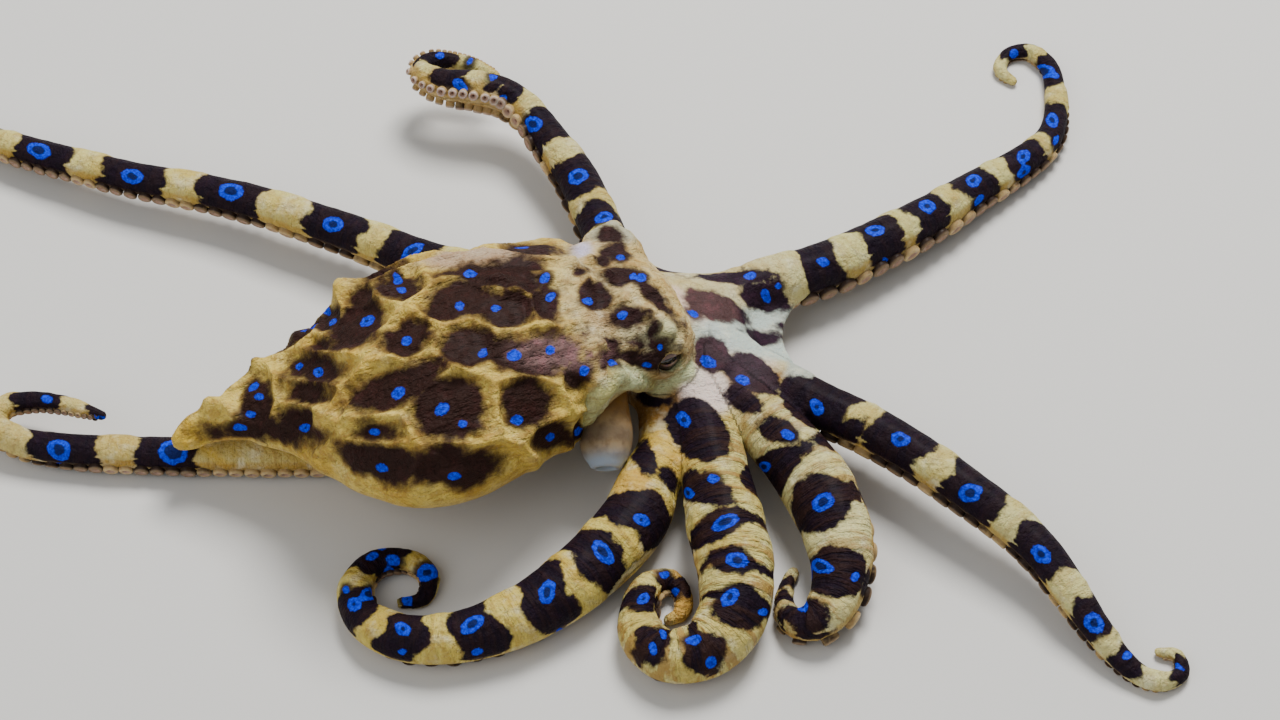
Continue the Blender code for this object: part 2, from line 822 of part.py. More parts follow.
def make_crown(arms, chance):
    """Dome, webs and the roots of the arms, with the mouth underneath."""
    pieces = [ball("dome", DOME_CENTRE, DOME_RADII, 18, 10)]
    for arm in arms.values():
        pieces.append(arm.tube(arm.name + "_root", 0.0, arm.reach))
        pieces += arm.suckers(arm.reach * FIRST_SUCKER_SHARE, arm.reach, chance)
    for first, second, first_reach, second_reach in WEBS:
        pieces.append(web(arms[first], arms[second], first_reach, second_reach))
    mouth = Vector((DOME_CENTRE[0], DOME_CENTRE[1], LIP_HEIGHT))
    pieces.append(hoop("lips", mouth, UP, LIP_RADIUS, LIP_THICKNESS))
    crown = unite("crown", pieces)
    bore = [
        oval(mouth + UP * height, AHEAD, LEFT, MOUTH_RADIUS, MOUTH_RADIUS, MOUTH_SIDES)
        for height in (MOUTH_FROM, MOUTH_TO)
    ]
    carve(crown, [loft("mouth_bore", bore)])
    carve(crown, [*head_pieces(HEAD_CLEARANCE), funnel_body("funnel_clearance", CLEARANCE)])
    set_on_floor(crown)
    return finish(keep_largest(crown), *SKINS["crown"])


def make_arm(arm, chance):
    """The free arm as lengths that meet end to end."""
    start = arm.reach + GAP
    each = (arm.total - start + GAP) / arm.lengths
    for index in range(arm.lengths):
        letter = "abcdefgh"[index]
        end = start + each - GAP
        pieces = [arm.tube(f"{arm.name}_{letter}", start, end)]
        pieces += arm.suckers(start, end, chance)
        length = unite(f"{arm.name}_{letter}", pieces)
        set_on_floor(length)
        colour = ARM_DARK if index % 2 else ARM_PALE
        finish(keep_largest(length), colour, ARM_ROUGHNESS)
        start = end + GAP


def main():
    clear_scene()
    chance = random.Random(8)
    arms = {name: Arm(name) for name in ARMS}
    make_mantle()
    make_head()
    make_eyes()
    make_funnel()
    make_crown(arms, chance)
    for arm in arms.values():
        make_arm(arm, chance)


main()
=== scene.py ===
"""Looks for the southern blue-ringed octopus: one marked skin over the whole animal, its suckers,
eyes, funnel, floor, lights and camera.

Sizes are in millimetres, measured from the point on the floor under the middle of the crown of
arms, as in part.py. +X is ahead of the head and +Y is the animal's left.
"""
import math

import bpy
import numpy as np
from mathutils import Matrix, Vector, kdtree, noise


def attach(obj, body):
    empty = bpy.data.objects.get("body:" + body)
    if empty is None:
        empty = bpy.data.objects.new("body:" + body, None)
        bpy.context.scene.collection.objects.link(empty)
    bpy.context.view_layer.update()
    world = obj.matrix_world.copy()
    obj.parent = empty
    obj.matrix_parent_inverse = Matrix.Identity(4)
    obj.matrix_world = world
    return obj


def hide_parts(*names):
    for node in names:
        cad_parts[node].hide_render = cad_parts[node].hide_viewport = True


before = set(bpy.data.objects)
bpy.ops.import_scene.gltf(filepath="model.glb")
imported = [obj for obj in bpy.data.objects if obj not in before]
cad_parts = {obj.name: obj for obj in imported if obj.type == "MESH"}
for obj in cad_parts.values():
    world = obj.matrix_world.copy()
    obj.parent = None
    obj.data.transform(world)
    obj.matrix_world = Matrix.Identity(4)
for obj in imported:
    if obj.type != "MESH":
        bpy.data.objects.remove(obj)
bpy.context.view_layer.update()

MM = 0.001
FOOTPRINT_CENTRE = np.array((-20.54, 1.32, 0.0))
UP = np.array((0.0, 0.0, 1.0))

# View of the photo: distance, elevation and lens, looking at the middle of the crown.
IMAGE_SIZE = (1280, 720)
EYE_POINT = np.array((0.0, -258.0, 307.5))
LENS = 105.0
SENSOR = 36.0

# The body, as stations from back to front: x, y, height, half width, half height.
MANTLE_STATIONS = (
    (-47.9, -16.0, 6.0, 0.5, 0.5), (-46.6, -15.4, 6.4, 1.2, 1.1), (-44.0, -14.3, 7.2, 2.1, 1.7),
    (-40.0, -13.2, 8.3, 3.8, 2.7), (-35.0, -13.0, 9.6, 6.7, 4.2), (-31.5, -13.3, 10.9, 9.9, 5.7),
    (-28.5, -13.5, 12.0, 12.7, 6.8), (-24.5, -13.7, 12.9, 14.4, 7.8),
    (-20.5, -13.7, 13.3, 15.0, 8.3), (-16.5, -13.0, 13.4, 14.8, 8.3),
    (-12.3, -11.2, 13.2, 13.7, 7.9), (-8.5, -9.3, 12.4, 12.6, 6.8), (-5.0, -9.8, 11.2, 11.0, 5.2),
    (-2.0, -9.6, 10.2, 9.0, 3.8),
)
# The mantle's open front edge: a point on it and the direction that it faces, seen from above.
COLLAR_POINT = np.array((-4.4, -14.4))
COLLAR_FACES = np.array((0.85, -0.52))
HEAD_STATIONS = (
    (-13.0, -10.0, 12.6, 9.8, 6.0), (-8.2, -7.4, 12.7, 9.6, 6.1), (-5.0, -5.4, 12.6, 9.0, 5.6),
    (-1.6, -3.6, 12.4, 8.3, 5.1), (0.8, -2.8, 11.9, 7.4, 4.5), (2.6, -2.2, 11.2, 5.4, 3.5),
    (3.7, -1.8, 10.5, 2.6, 1.8),
)
HEAD_HEADING = math.radians(25.0)
EYES = {"eye_right": (2.3, -8.4, 11.1), "eye_left": (-3.4, 4.0, 13.4)}
EYE_OUTWARD = {"eye_right": (0.42, -0.84, 0.35), "eye_left": (-0.42, 0.84, 0.35)}
EYE_RADIUS = 1.9
TURRET_RADIUS = 3.3
TURRET_INSET = 1.3
# Half length and half height of the opening between the lids, and the lids' own radius.
EYE_OPENING = (1.7, 1.3)
LID_RADIUS = 0.42
EYE_SIDES = 48
DOME_CENTRE = np.array((2.6, -1.6, 5.4))
DOME_RADII = np.array((9.2, 8.6, 4.5))
FUNNEL_ROUTE = (
    (-2.4, -9.4, 10.6, 1.0), (-2.7, -11.4, 9.7, 1.3), (-3.1, -13.4, 8.8, 2.0),
    (-3.4, -15.2, 8.0, 2.6), (-3.5, -16.9, 7.2, 2.75), (-3.5, -18.3, 6.5, 2.4),
    (-3.5, -19.1, 6.1, 1.8),
)
FUNNEL_STEPS = 6
FUNNEL_SIDES = 40
# Rings of the funnel's lip and inside: how far back from its end, and their radii.
FUNNEL_LIP = ((-0.34, 1.62), (-0.5, 1.3), (-0.45, 1.0), (0.2, 0.85), (2.5, 0.9), (2.6, 0.02))
# The mouth: the height of its lips, how far out they stand and their radius, and its bore.
MOUTH_HEIGHT = 1.1
LIPS_ACROSS = 2.0
LIP_RADIUS = 0.75
MOUTH_RADIUS = 0.9
MOUTH_DEPTH = 2.5

# Arms: route as x, y, lift of the underside and radius, and turns of the oral side, as in part.py.
ARMS = {
    "arm_left_1": {
        "route": (
            (5.5, 2.2, 2.4, 2.8), (13.0, 6.2, 1.9, 2.9), (19.8, 9.4, 1.2, 2.9),
            (26.0, 13.5, 0.8, 2.75), (31.8, 17.8, 0.5, 2.5), (37.1, 22.5, 0.2, 2.2),
            (42.4, 26.9, 0.0, 1.9), (45.9, 30.9, 0.0, 1.6), (47.1, 35.3, 0.0, 1.35),
            (47.3, 39.2, 0.0, 1.2), (46.9, 43.0, 0.0, 1.05), (44.9, 45.5, 0.0, 0.95),
            (42.3, 45.2, 0.0, 0.8), (41.3, 42.8, 0.0, 0.65), (42.7, 41.2, 0.0, 0.45),
        ),
        "turns": ((0.0, 20), (0.3, 38), (0.7, 32), (1.0, -20)),
    },
    "arm_left_2": {
        "route": (
            (1.0, 3.2, 2.6, 2.6), (-2.6, 9.7, 2.4, 2.5), (-4.6, 15.7, 2.3, 2.4),
            (-7.0, 22.3, 2.3, 2.3), (-9.8, 27.4, 2.5, 2.15), (-12.2, 31.2, 3.1, 2.0),
            (-15.0, 33.5, 3.7, 2.1), (-18.6, 34.2, 4.3, 2.1), (-22.2, 34.9, 4.5, 1.85),
            (-24.6, 36.7, 4.8, 1.45), (-23.7, 38.8, 5.0, 1.15), (-21.2, 39.1, 5.0, 0.95),
            (-18.6, 38.5, 4.9, 0.8), (-16.3, 37.4, 4.8, 0.5),
        ),
        "turns": ((0.0, 0), (0.35, -15), (0.5, -50), (0.62, -80), (1.0, -75)),
    },
    "arm_left_3": {
        "route": (
            (-1.0, 1.4, 2.3, 2.7), (-8.6, 6.0, 2.2, 2.6), (-15.6, 7.2, 2.2, 2.55),
            (-22.7, 9.4, 2.3, 2.45), (-28.2, 12.3, 2.3, 2.3), (-33.5, 14.9, 2.3, 2.2),
            (-39.5, 17.7, 2.2, 2.1), (-45.1, 19.9, 2.0, 2.05), (-50.8, 21.7, 1.8, 1.95),
            (-56.2, 23.2, 1.6, 1.9), (-61.7, 25.4, 1.3, 1.85), (-67.1, 27.5, 1.0, 1.8),
            (-72.2, 29.9, 0.7, 1.65), (-77.6, 32.3, 0.3, 1.4), (-83.3, 34.2, 0.0, 1.1),
            (-88.9, 34.6, 0.0, 0.85), (-93.4, 33.1, 0.0, 0.6), (-96.0, 30.3, 0.0, 0.4),
        ),
        "turns": ((0.0, 0), (0.4, -25), (0.7, -40), (1.0, -25)),
    },
    "arm_left_4": {
        "route": (
            (0.0, -3.1, 2.0, 2.7), (-6.6, -6.8, 0.6, 2.3), (-13.0, -10.0, 0.2, 2.1),
            (-21.0, -12.9, 0.0, 2.05), (-29.0, -14.4, 0.0, 2.0), (-36.0, -14.7, 0.0, 2.0),
            (-42.1, -14.7, 0.0, 1.95), (-48.6, -14.6, 0.0, 1.9), (-55.1, -14.3, 0.0, 1.85),
            (-60.6, -13.9, 0.2, 1.75), (-65.1, -13.0, 0.6, 1.55), (-67.9, -11.1, 1.2, 1.35),
            (-66.9, -9.0, 1.9, 1.2), (-64.0, -8.7, 2.5, 1.1), (-61.0, -9.3, 2.9, 1.0),
            (-58.4, -10.2, 3.2, 0.8), (-56.4, -10.9, 3.4, 0.5),
        ),
        "turns": ((0.0, 0), (0.3, -30), (0.7, -35), (0.85, 20), (1.0, 65)),
    },
    "arm_right_4": {
        "route": (
            (2.4, -5.0, 2.3, 2.9), (2.8, -10.4, 1.7, 2.9), (2.7, -15.4, 1.0, 2.9),
            (0.9, -20.1, 0.8, 3.1), (-0.5, -24.6, 0.5, 3.5), (-3.9, -29.4, 0.3, 3.45),
            (-7.8, -33.3, 0.1, 3.3), (-12.6, -36.6, 0.0, 2.95), (-18.1, -38.6, 0.0, 2.6),
            (-23.5, -38.6, 0.0, 2.35), (-27.7, -36.0, 0.0, 2.0), (-29.0, -31.9, 0.0, 1.7),
            (-27.1, -28.5, 0.0, 1.45), (-23.9, -27.9, 0.0, 1.2), (-21.6, -29.7, 0.0, 1.0),
            (-22.0, -32.3, 0.0, 0.8), (-24.2, -32.8, 0.0, 0.55),
        ),
        "turns": ((0.0, 0), (0.3, 15), (0.6, 25), (1.0, 30)),
    },
    "arm_right_3": {
        "route": (
            (4.0, -4.6, 2.5, 2.9), (5.7, -10.0, 2.3, 3.0), (6.9, -15.2, 1.8, 3.3),
            (7.9, -20.4, 1.2, 3.6), (8.7, -25.8, 0.7, 4.0), (9.6, -31.2, 0.4, 3.95),
            (9.4, -36.3, 0.2, 3.5), (6.9, -40.1, 0.0, 3.0), (2.9, -41.0, 0.0, 2.6),
            (0.3, -38.5, 0.0, 2.25), (-0.2, -34.9, 0.0, 1.9), (0.9, -31.6, 0.0, 1.55),
            (3.0, -30.5, 0.0, 1.25), (4.4, -32.0, 0.0, 0.95), (4.2, -34.2, 0.0, 0.75),
            (2.9, -34.9, 0.0, 0.5),
        ),
        "turns": ((0.0, 0), (0.4, 10), (0.6, 25), (1.0, 40)),
    },
    "arm_right_2": {
        "route": (
            (5.4, -4.0, 2.5, 2.9), (9.8, -9.0, 2.2, 3.1), (13.8, -14.0, 1.7, 3.4),
            (17.2, -19.1, 1.1, 3.7), (19.6, -24.4, 0.7, 3.7), (20.5, -29.2, 0.4, 3.3),
            (20.0, -33.3, 0.1, 2.8), (18.1, -36.2, 0.0, 2.2), (15.7, -36.1, 0.0, 1.6),
            (14.7, -33.6, 0.0, 1.05), (14.9, -31.0, 0.0, 0.8), (15.7, -28.9, 0.0, 0.5),
        ),
        "turns": ((0.0, 0), (0.35, -35), (0.7, -35), (1.0, 0)),
    },
    "arm_right_1": {
        "route": (
            (6.0, -2.8, 2.8, 2.8), (12.6, -7.0, 2.9, 2.7), (18.8, -11.1, 3.0, 2.6),
            (24.0, -14.3, 3.1, 2.5), (29.0, -18.1, 3.2, 2.4), (34.0, -22.6, 3.2, 2.3),
            (37.7, -25.9, 2.8, 2.2), (41.0, -29.6, 2.3, 2.05), (43.5, -33.5, 1.6, 1.85),
            (45.7, -37.0, 0.9, 1.6), (47.6, -39.7, 0.4, 1.3), (49.7, -41.8, 0.0, 1.1),
            (52.1, -42.8, 0.0, 0.95), (54.3, -41.6, 0.0, 0.8), (54.1, -39.4, 0.0, 0.65),
            (52.3, -38.9, 0.0, 0.45),
        ),
        "turns": ((0.0, 0), (0.4, 25), (0.75, 20), (1.0, -40)),
    },
}
# The left arms come first in ARMS.
LEFT_ARMS = 4
# Letters of the lengths of an arm in part.py, where they don't run from a to e.
ARM_LETTERS = {"arm_right_4": "abcdef", "arm_right_3": "abcdef", "arm_right_2": "abcd"}
# How deep an arm is above and below its line, as shares of its radius.
DORSAL_DEPTH = 0.95
ORAL_DEPTH = 0.82
# About how far apart the places of a smooth curve are, in mm.
STEP = 0.25
# How many steps of the arm's line one bar of its flesh spans.
BAR_STEPS = 3

# Suckers: radius as a share of the arm's, and how they stand on it, as in part.py but closer set.
SUCKER_SHARE = 0.42
SUCKER_LEAST = 0.3
SUCKER_MOST = 1.05
SUCKER_HEIGHT = 0.8
SUCKER_ANGLE = math.radians(37.0)
SUCKER_PITCH = 1.02
FIRST_SUCKER = 2.5
BARE_TIP = 0.6
FLOOR_PRESS = 0.15
SUCKER_SIDES = 20
# How much further and thinner the suckers stand out where an arm's end is off the floor, and the
# share of the arm where that starts.
FREE_STALK = {"arm_left_2": 1.9}
FREE_SHRINK = 0.36
FREE_START = 0.55
# Outline of a sucker from its root to the bottom of its cup: height over the arm's surface and
# radius as shares of its own radius, and how far into the cup, 0 at the root and 1 at the bottom.
SUCKER_OUTLINE = (
    (-0.95, 1.16, 0.0), (-0.3, 1.08, 0.04), (0.1, 0.98, 0.12), (0.38, 1.02, 0.25),
    (0.6, 1.02, 0.36), (0.77, 0.92, 0.46), (0.85, 0.76, 0.55), (0.83, 0.62, 0.62),
    (0.74, 0.46, 0.7), (0.62, 0.32, 0.8), (0.48, 0.2, 0.92), (0.42, 0.002, 1.0),
)

# Webs: two neighbouring arms and how far along each the web reaches. Its edge curves in and it
# sags half way, and it is laid as rows of bars.
WEBS = (
    ("arm_left_1", "arm_left_2", 10.0, 6.5),
    ("arm_left_2", "arm_left_3", 6.5, 7.5),
    ("arm_left_3", "arm_left_4", 7.0, 5.5),
    ("arm_left_4", "arm_right_4", 5.5, 8.0),
    ("arm_right_4", "arm_right_3", 14.0, 14.0),
    ("arm_right_3", "arm_right_2", 14.0, 14.0),
    ("arm_right_2", "arm_right_1", 14.5, 13.0),
    ("arm_right_1", "arm_left_1", 15.5, 15.0),
)
WEB_HALF_THICKNESS = 0.45
WEB_EDGE_CURVE = 0.32
WEB_SAG = 1.0
WEB_ROW = 0.45
WEB_BARS = 8

# Field that the skin is taken from.
CELL = 0.27
FIELD_LOW = np.array((-97.5, -45.5, -1.2))
FIELD_HIGH = np.array((57.0, 48.0, 23.4))
FAR = 3.0
MANTLE_BOX = ((-50.0, -31.0, 2.0), (-4.0, 4.0, 23.2))
HEAD_BOX = ((-15.0, -16.0, 3.0), (12.0, 14.0, 22.0))
# About how many sections a body is measured with, and the step in mm along a ray of the photo.
SECTIONS = 60
RAY_STEP = 0.08

# How round the mantle's edge is in front of its collar, ahead and at the back, and the head's ahead
# and at the back, in mm.
MANTLE_ROUNDING = (1.6, 3.0, 0.9)
HEAD_ROUNDING = (1.2, 1.0)
# How softly forms run into each other, in mm: the arms by their distance from the middle of the
# crown, and the head by its height.
MANTLE_BLEND = 0.05
HEAD_BLEND = ((10.0, 17.0), (0.5, 3.6))
TURRET_BLEND = 2.2
COLLAR_BLEND = 0.5
CROWN_BLEND = 2.0
ARM_BLEND = ((9.0, 19.0), (2.4, 0.25))
WEB_BLEND = 1.3

# Marks, by their places in the photo's frame. Each ring is its x and y, its length and width in
# pixels and the tilt of its length, if any, in degrees anticlockwise.
ARM_RINGS = {
    "arm_left_1": (
        (750, 276, 14, 9, 14), (823, 262, 14, 10, -20), (875, 230, 22, 12, 6),
        (927, 206, 18, 14, -18), (973, 180, 18, 14, 19), (1023, 156, 17, 14, 50),
        (1052, 120, 17, 13, 78), (1043, 72, 18, 14, -60), (1014, 54, 10, 9),
    ),
    "arm_left_2": (
        (604, 217, 21, 12, 19), (578, 176, 23, 17, 26), (533, 124, 21, 18, -15),
        (503, 99, 9, 8, -13), (460, 85, 20, 10, -35), (493, 77, 8, 7), (440, 55, 8, 8, 39),
    ),
    "arm_left_3": (
        (412, 251, 28, 13, 34), (333, 224, 23, 17, -4), (231, 191, 29, 19, -5),
        (132, 176, 26, 16, -14), (39, 150, 28, 17, -19),
    ),
    "arm_left_4": (
        (173, 452, 33, 27, -5), (59, 450, 27, 23, -20), (102, 421, 15, 10, -50),
        (47, 399, 12, 9, -20),
    ),
    "arm_right_4": (
        (642, 520, 20, 12, -20), (603, 552, 32, 17, -48), (547, 592, 27, 18, 74),
        (472, 624, 29, 16, 30), (403, 629, 19, 13, -19), (354, 604, 16, 14), (372, 556, 14, 9, 30),
        (407, 600, 13, 11, -75),
    ),
    "arm_right_3": (
        (725, 522, 33, 15, 23), (737, 560, 26, 16, -11), (764, 612, 10, 8), (711, 662, 15, 11, 58),
        (653, 649, 13, 8, -81), (643, 599, 15, 10, 29), (675, 592, 9, 8, -80),
    ),
    "arm_right_2": (
        (823, 502, 27, 18, 32), (820, 566, 22, 15, -9), (803, 607, 13, 10, 20),
    ),
    "arm_right_1": (
        (817, 407, 19, 14, -60), (900, 439, 22, 16, -13), (970, 493, 26, 20, 12),
        (1041, 554, 24, 17, -47), (1094, 623, 24, 20, -58), (1177, 666, 8, 6, -20),
        (1128, 655, 10, 8),
    ),
}
# Smaller rings beside the main ones.
SIDE_RINGS = (
    (713, 479, 14, 9, -3), (788, 435, 15, 10, -23), (764, 467, 14, 12, -5), (766, 296, 16, 10, -68),
    (885, 262, 10, 8, -55), (979, 200, 15, 7, 50), (1024, 172, 19, 11, 45), (1056, 140, 12, 6, 65),
    (470, 62, 7, 5, 45), (60, 475, 9, 5), (559, 630, 8, 7, 29), (477, 652, 13, 7, 18),
    (403, 652, 9, 7), (393, 560, 16, 12, -20), (427, 573, 21, 18, 20), (369, 594, 16, 15),
    (346, 590, 8, 7), (391, 579, 15, 10), (1055, 76, 8, 7), (688, 493, 14, 11, -45),
    (730, 597, 23, 15, 44), (694, 640, 17, 11, 16), (663, 634, 11, 7, -60), (855, 577, 11, 9, 53),
    (664, 575, 10, 8), (684, 420, 20, 14, -49), (381, 548, 10, 5), (778, 286, 6, 5),
)
# Spots of the mantle, head and web.
SPOTS = (
    (398, 281, 9, 8), (402, 291, 8, 6), (333, 322, 9, 7, 36), (328, 312, 8, 6),
    (367, 321, 15, 10, 27), (407, 341, 10, 9, 22), (470, 275, 13, 8, 6), (460, 306, 9, 8, 78),
    (496, 308, 9, 7, 8), (299, 366, 8, 6, 18), (319, 372, 12, 9), (254, 387, 12, 7, 17),
    (259, 397, 10, 6, 4), (231, 391, 6, 5), (251, 414, 9, 7, 2), (240, 427, 15, 7),
    (307, 428, 14, 8, -3), (398, 393, 15, 11, 31), (442, 409, 14, 11, 44), (463, 424, 9, 7, 3),
    (375, 432, 10, 7), (382, 468, 12, 8, -9), (454, 476, 12, 8, 8), (544, 281, 9, 8, 22),
    (550, 298, 10, 7, 41), (483, 353, 9, 8, 58), (514, 356, 13, 11, 18), (550, 350, 9, 9),
    (517, 420, 11, 9, 18), (584, 371, 10, 9, 55), (550, 437, 9, 7, 35), (577, 431, 9, 7, 60),
    (587, 303, 12, 7, -3), (622, 316, 10, 8, 17), (660, 347, 6, 5, 90), (612, 363, 8, 6, -24),
    (647, 365, 8, 5), (640, 280, 10, 8, 4), (620, 260, 8, 6), (692, 315, 12, 7, -19),
    (708, 362, 17, 11, -25), (743, 380, 14, 9, -21), (632, 278, 6, 5),
)
# How much of its measured size a ring has, without the blur of its edge.
RING_SIZE = 0.87
# Dark patches of the mantle, head, web and arms, given like the rings.
MANTLE_PATCHES = (
    (505, 352, 44, 30), (425, 374, 40, 22, 22), (482, 304, 60, 26), (495, 272, 96, 14, 4),
    (409, 340, 48, 30, 10), (315, 371, 56, 26), (309, 393, 42, 24), (393, 390, 92, 36, 18),
    (451, 409, 74, 62), (376, 431, 38, 18), (272, 430, 130, 18), (300, 421, 40, 26),
    (378, 462, 84, 30, -8), (457, 470, 92, 32, 4), (451, 455, 28, 20), (257, 404, 32, 54),
    (357, 326, 60, 36, 25), (350, 341, 58, 16, 12), (332, 321, 26, 24), (397, 288, 50, 22, 10),
    (458, 299, 62, 38, 15), (505, 281, 92, 24, -3), (504, 311, 50, 34), (549, 301, 30, 40),
    (469, 349, 56, 36), (541, 356, 96, 40), (527, 404, 46, 50), (577, 370, 31, 36),
    (552, 436, 34, 24), (577, 431, 18, 18), (520, 268, 60, 12), (365, 300, 30, 18, 25),
)
HEAD_PATCHES = (
    (594, 298, 36, 26), (626.5, 318, 43, 24), (637, 361, 102, 22), (615, 253, 30, 18),
    (619, 278, 42, 20), (556.5, 286.5, 23, 27), (611, 236, 22, 14), (561, 253, 26, 22),
    (668, 360, 38, 19, 8), (650, 330, 9, 15, -10), (583, 335, 18, 18), (571, 313, 18, 14),
    (655, 299, 62, 10, -42), (630, 281, 30, 10, -25), (608, 342, 26, 12, -15), (578, 276, 16, 10),
    (602, 262, 14, 10), (640, 345, 24, 10, -10), (548, 322, 20, 12), (566, 340, 14, 12),
)
WEB_PATCHES = (
    # The thin strip along the far edge of the web, at (716, 277), is partly painted shade.
    (716, 306, 88, 28, -16), (765, 299, 54, 32, -20), (745, 277, 64, 14, 4), (716, 277, 66, 9),
    (730, 365, 60, 22, -38), (690, 339, 22, 10, -50), (756, 338, 44, 14, -25),
    (781, 325, 18, 7, -20), (708, 353, 44, 38, -40), (753, 374, 58, 34, -38),
    (744, 400, 38, 22, -30), (812, 402, 68, 52, -45), (698, 429, 78, 54, -38),
    # The patch at (655, 397), between the head and the arms, is a painted shadow under the head.
    (655, 397, 58, 22, -12), (644, 456, 38, 20, -70), (672, 269, 60, 8, -3),
)
ARM_PATCHES = (
    (700, 488, 68, 30, -8), (717, 523, 64, 28, 30), (733, 561, 58, 25, -5), (741, 606, 62, 42, -15),
    (707, 654, 44, 44), (651, 646, 32, 42), (644, 598, 34, 26), (668, 583, 22, 34),
    (637, 515, 76, 28, -12), (601, 560, 52, 46), (778, 430, 42, 25, -10), (769, 478, 38, 54),
    (817, 503, 70, 60, 30), (834, 570, 80, 50), (805, 613, 48, 30),
)
# Places with a tint of their own: an oval given like the rings, its colour, how strong it is and
# whether it's on the light skin or on the dark.
TINTS = (
    # The brown oval round the funnel's root is painted shade under the mantle's edge.
    ((625, 425, 54, 76), (128, 84, 34), 0.9, "light"),
    ((684, 305, 70, 24, -42), (222, 190, 172), 0.85, "light"),
    ((722, 338, 66, 20, -48), (222, 192, 176), 0.85, "light"),
    ((760, 360, 50, 16, -20), (214, 190, 172), 0.8, "light"),
    ((706, 392, 62, 48, -30), (222, 202, 190), 0.95, "light"),
    ((786, 340, 84, 84, -20), (176, 190, 182), 0.9, "light"),
    ((812, 376, 60, 50, -45), (164, 172, 164), 0.85, "light"),
    ((668, 446, 84, 34, -42), (204, 170, 78), 0.95, "light"),
    ((630, 482, 50, 34), (196, 156, 70), 0.8, "light"),
    ((684, 590, 36, 110), (196, 140, 48), 0.7, "light"),
    ((640, 335, 66, 26, -20), (206, 196, 150), 0.8, "light"),
    ((662, 336, 44, 40), (190, 196, 150), 0.7, "light"),
    ((600, 320, 44, 24, -15), (192, 160, 118), 0.7, "light"),
    # The lilac oval on the far eye's lump is a painted highlight: a reflection on the wet skin.
    ((582, 252, 26, 22), (196, 188, 214), 0.9, "light"),
    ((612, 232, 60, 20), (166, 170, 150), 0.8, "light"),
    ((180, 426, 30, 24), (212, 172, 50), 0.8, "light"),
    ((478, 262, 150, 18, 4), (170, 144, 132), 0.8, "light"),
    ((560, 352, 110, 44), (116, 90, 86), 0.9, "deep"),
    ((708, 304, 80, 40, -16), (78, 56, 54), 0.85, "deep"),
    ((708, 353, 50, 46, -40), (66, 46, 50), 0.7, "deep"),
    ((753, 374, 64, 44, -38), (60, 44, 50), 0.6, "deep"),
)
# Ruffled lower edge of the mantle and head over the funnel, by its places in the photo's frame.
COLLAR_LINE = (
    (683, 371), (666, 381), (650, 387), (634, 383), (620, 377), (608, 383), (599, 393), (592, 404),
    (586, 415),
)
COLLAR_RADIUS = 0.62
COLLAR_WAVE = 0.5
# How far from that line the skin is pale.
COLLAR_REACH = 1.9
LINE_REACH = 3.0
# Papillae of the head and mantle: their places in the photo, radius and height in mm.
PAPILLAE = (
    (668, 333, 0.9, 0.8), (655, 326, 0.8, 0.7), (677, 345, 0.8, 0.6), (640, 333, 0.7, 0.5),
    (648, 315, 0.7, 0.5), (622, 300, 0.8, 0.6), (607, 277, 0.7, 0.6), (590, 262, 0.7, 0.6),
    (570, 268, 0.9, 0.8), (585, 283, 0.7, 0.5), (600, 345, 0.7, 0.5), (632, 348, 0.6, 0.5),
    (498, 284, 1.2, 1.0), (516, 290, 1.0, 0.8), (386, 296, 1.1, 1.0), (352, 296, 1.3, 1.1),
    (301, 342, 1.2, 1.0), (312, 336, 0.8, 0.7), (262, 372, 0.8, 0.7), (215, 408, 0.9, 0.6),
    (430, 338, 0.8, 0.6), (458, 372, 0.8, 0.6), (354, 410, 0.9, 0.7), (325, 415, 0.9, 0.7),
    (480, 430, 0.8, 0.6), (410, 320, 0.9, 0.7), (545, 325, 0.8, 0.7), (395, 360, 0.8, 0.7),
)


def srgb(red, green, blue):
    """Linear colour from the 0 to 255 values of a screen."""
    values = np.array((red, green, blue)) / 255.0
    return np.where(values <= 0.04045, values / 12.92, ((values + 0.055) / 1.055)**2.4)


# Parts of the body in the order of the skin's weights, with the width in mm over which one takes
# over from the next, and the colours of their light and dark skin.
SKIN_KEYS = ("mantle", "head", "arm", "web")
WEIGHT_WIDTH = 0.45
LIGHT = {"mantle": srgb(212, 182, 78), "head": srgb(204, 180, 122), "arm": srgb(204, 190, 110),
         "web": srgb(196, 186, 150)}
DEEP = {"mantle": srgb(42, 25, 18), "head": srgb(42, 26, 22), "arm": srgb(20, 12, 22),
        "web": srgb(38, 24, 34)}
# How much yellower or paler than the rest the light bands of some arms are.
ARM_SHADE = {
    "arm_right_4": (1.0, 0.92, 0.62), "arm_right_2": (1.0, 1.06, 1.45),
    "arm_right_1": (0.96, 1.02, 1.3), "arm_left_1": (0.90, 0.96, 1.15),
    "arm_left_2": (0.92, 0.94, 1.1), "arm_left_4": (0.90, 0.84, 0.85),
}
UNDERSIDE = srgb(214, 186, 140)
# Tints of the light skin with more blue than this, of 255, are pale and take no warm mottling.
PALE_BLUE = 140
# How far from the dark markings their distance is still told apart, in mm.
LEAST_DARK = 1.6
# Where some bands narrow round the arm: by how much, and the angle at which they are widest.
BAND_TAPER = {"arm_right_3": 0.75, "arm_right_2": 0.35, "arm_right_4": 0.3}
BAND_MIDDLE = {"arm_right_3": -0.6}
# Arms whose bands are also drawn as patches, and how wide their bands are beside the others.
BAND_WIDTH = {"arm_right_3": 0.6, "arm_right_2": 0.6}
# Bands past the last ring, by their distance along the arm.
DARK_TIPS = {"arm_right_2": [40.5, 43.5, 46.0]}
# How far past its last ring in the photo's frame an arm that leaves the frame has more rings, in mm.
LATER_RINGS = {"arm_left_3": (9.0, 16.8, 23.0)}
# How strongly the skin of an arm is drawn up in folds across it, where that's not 0.3.
WRINKLED = {"arm_right_3": 1.0, "arm_right_2": 0.8, "arm_right_4": 0.45, "arm_left_2": 0.4}
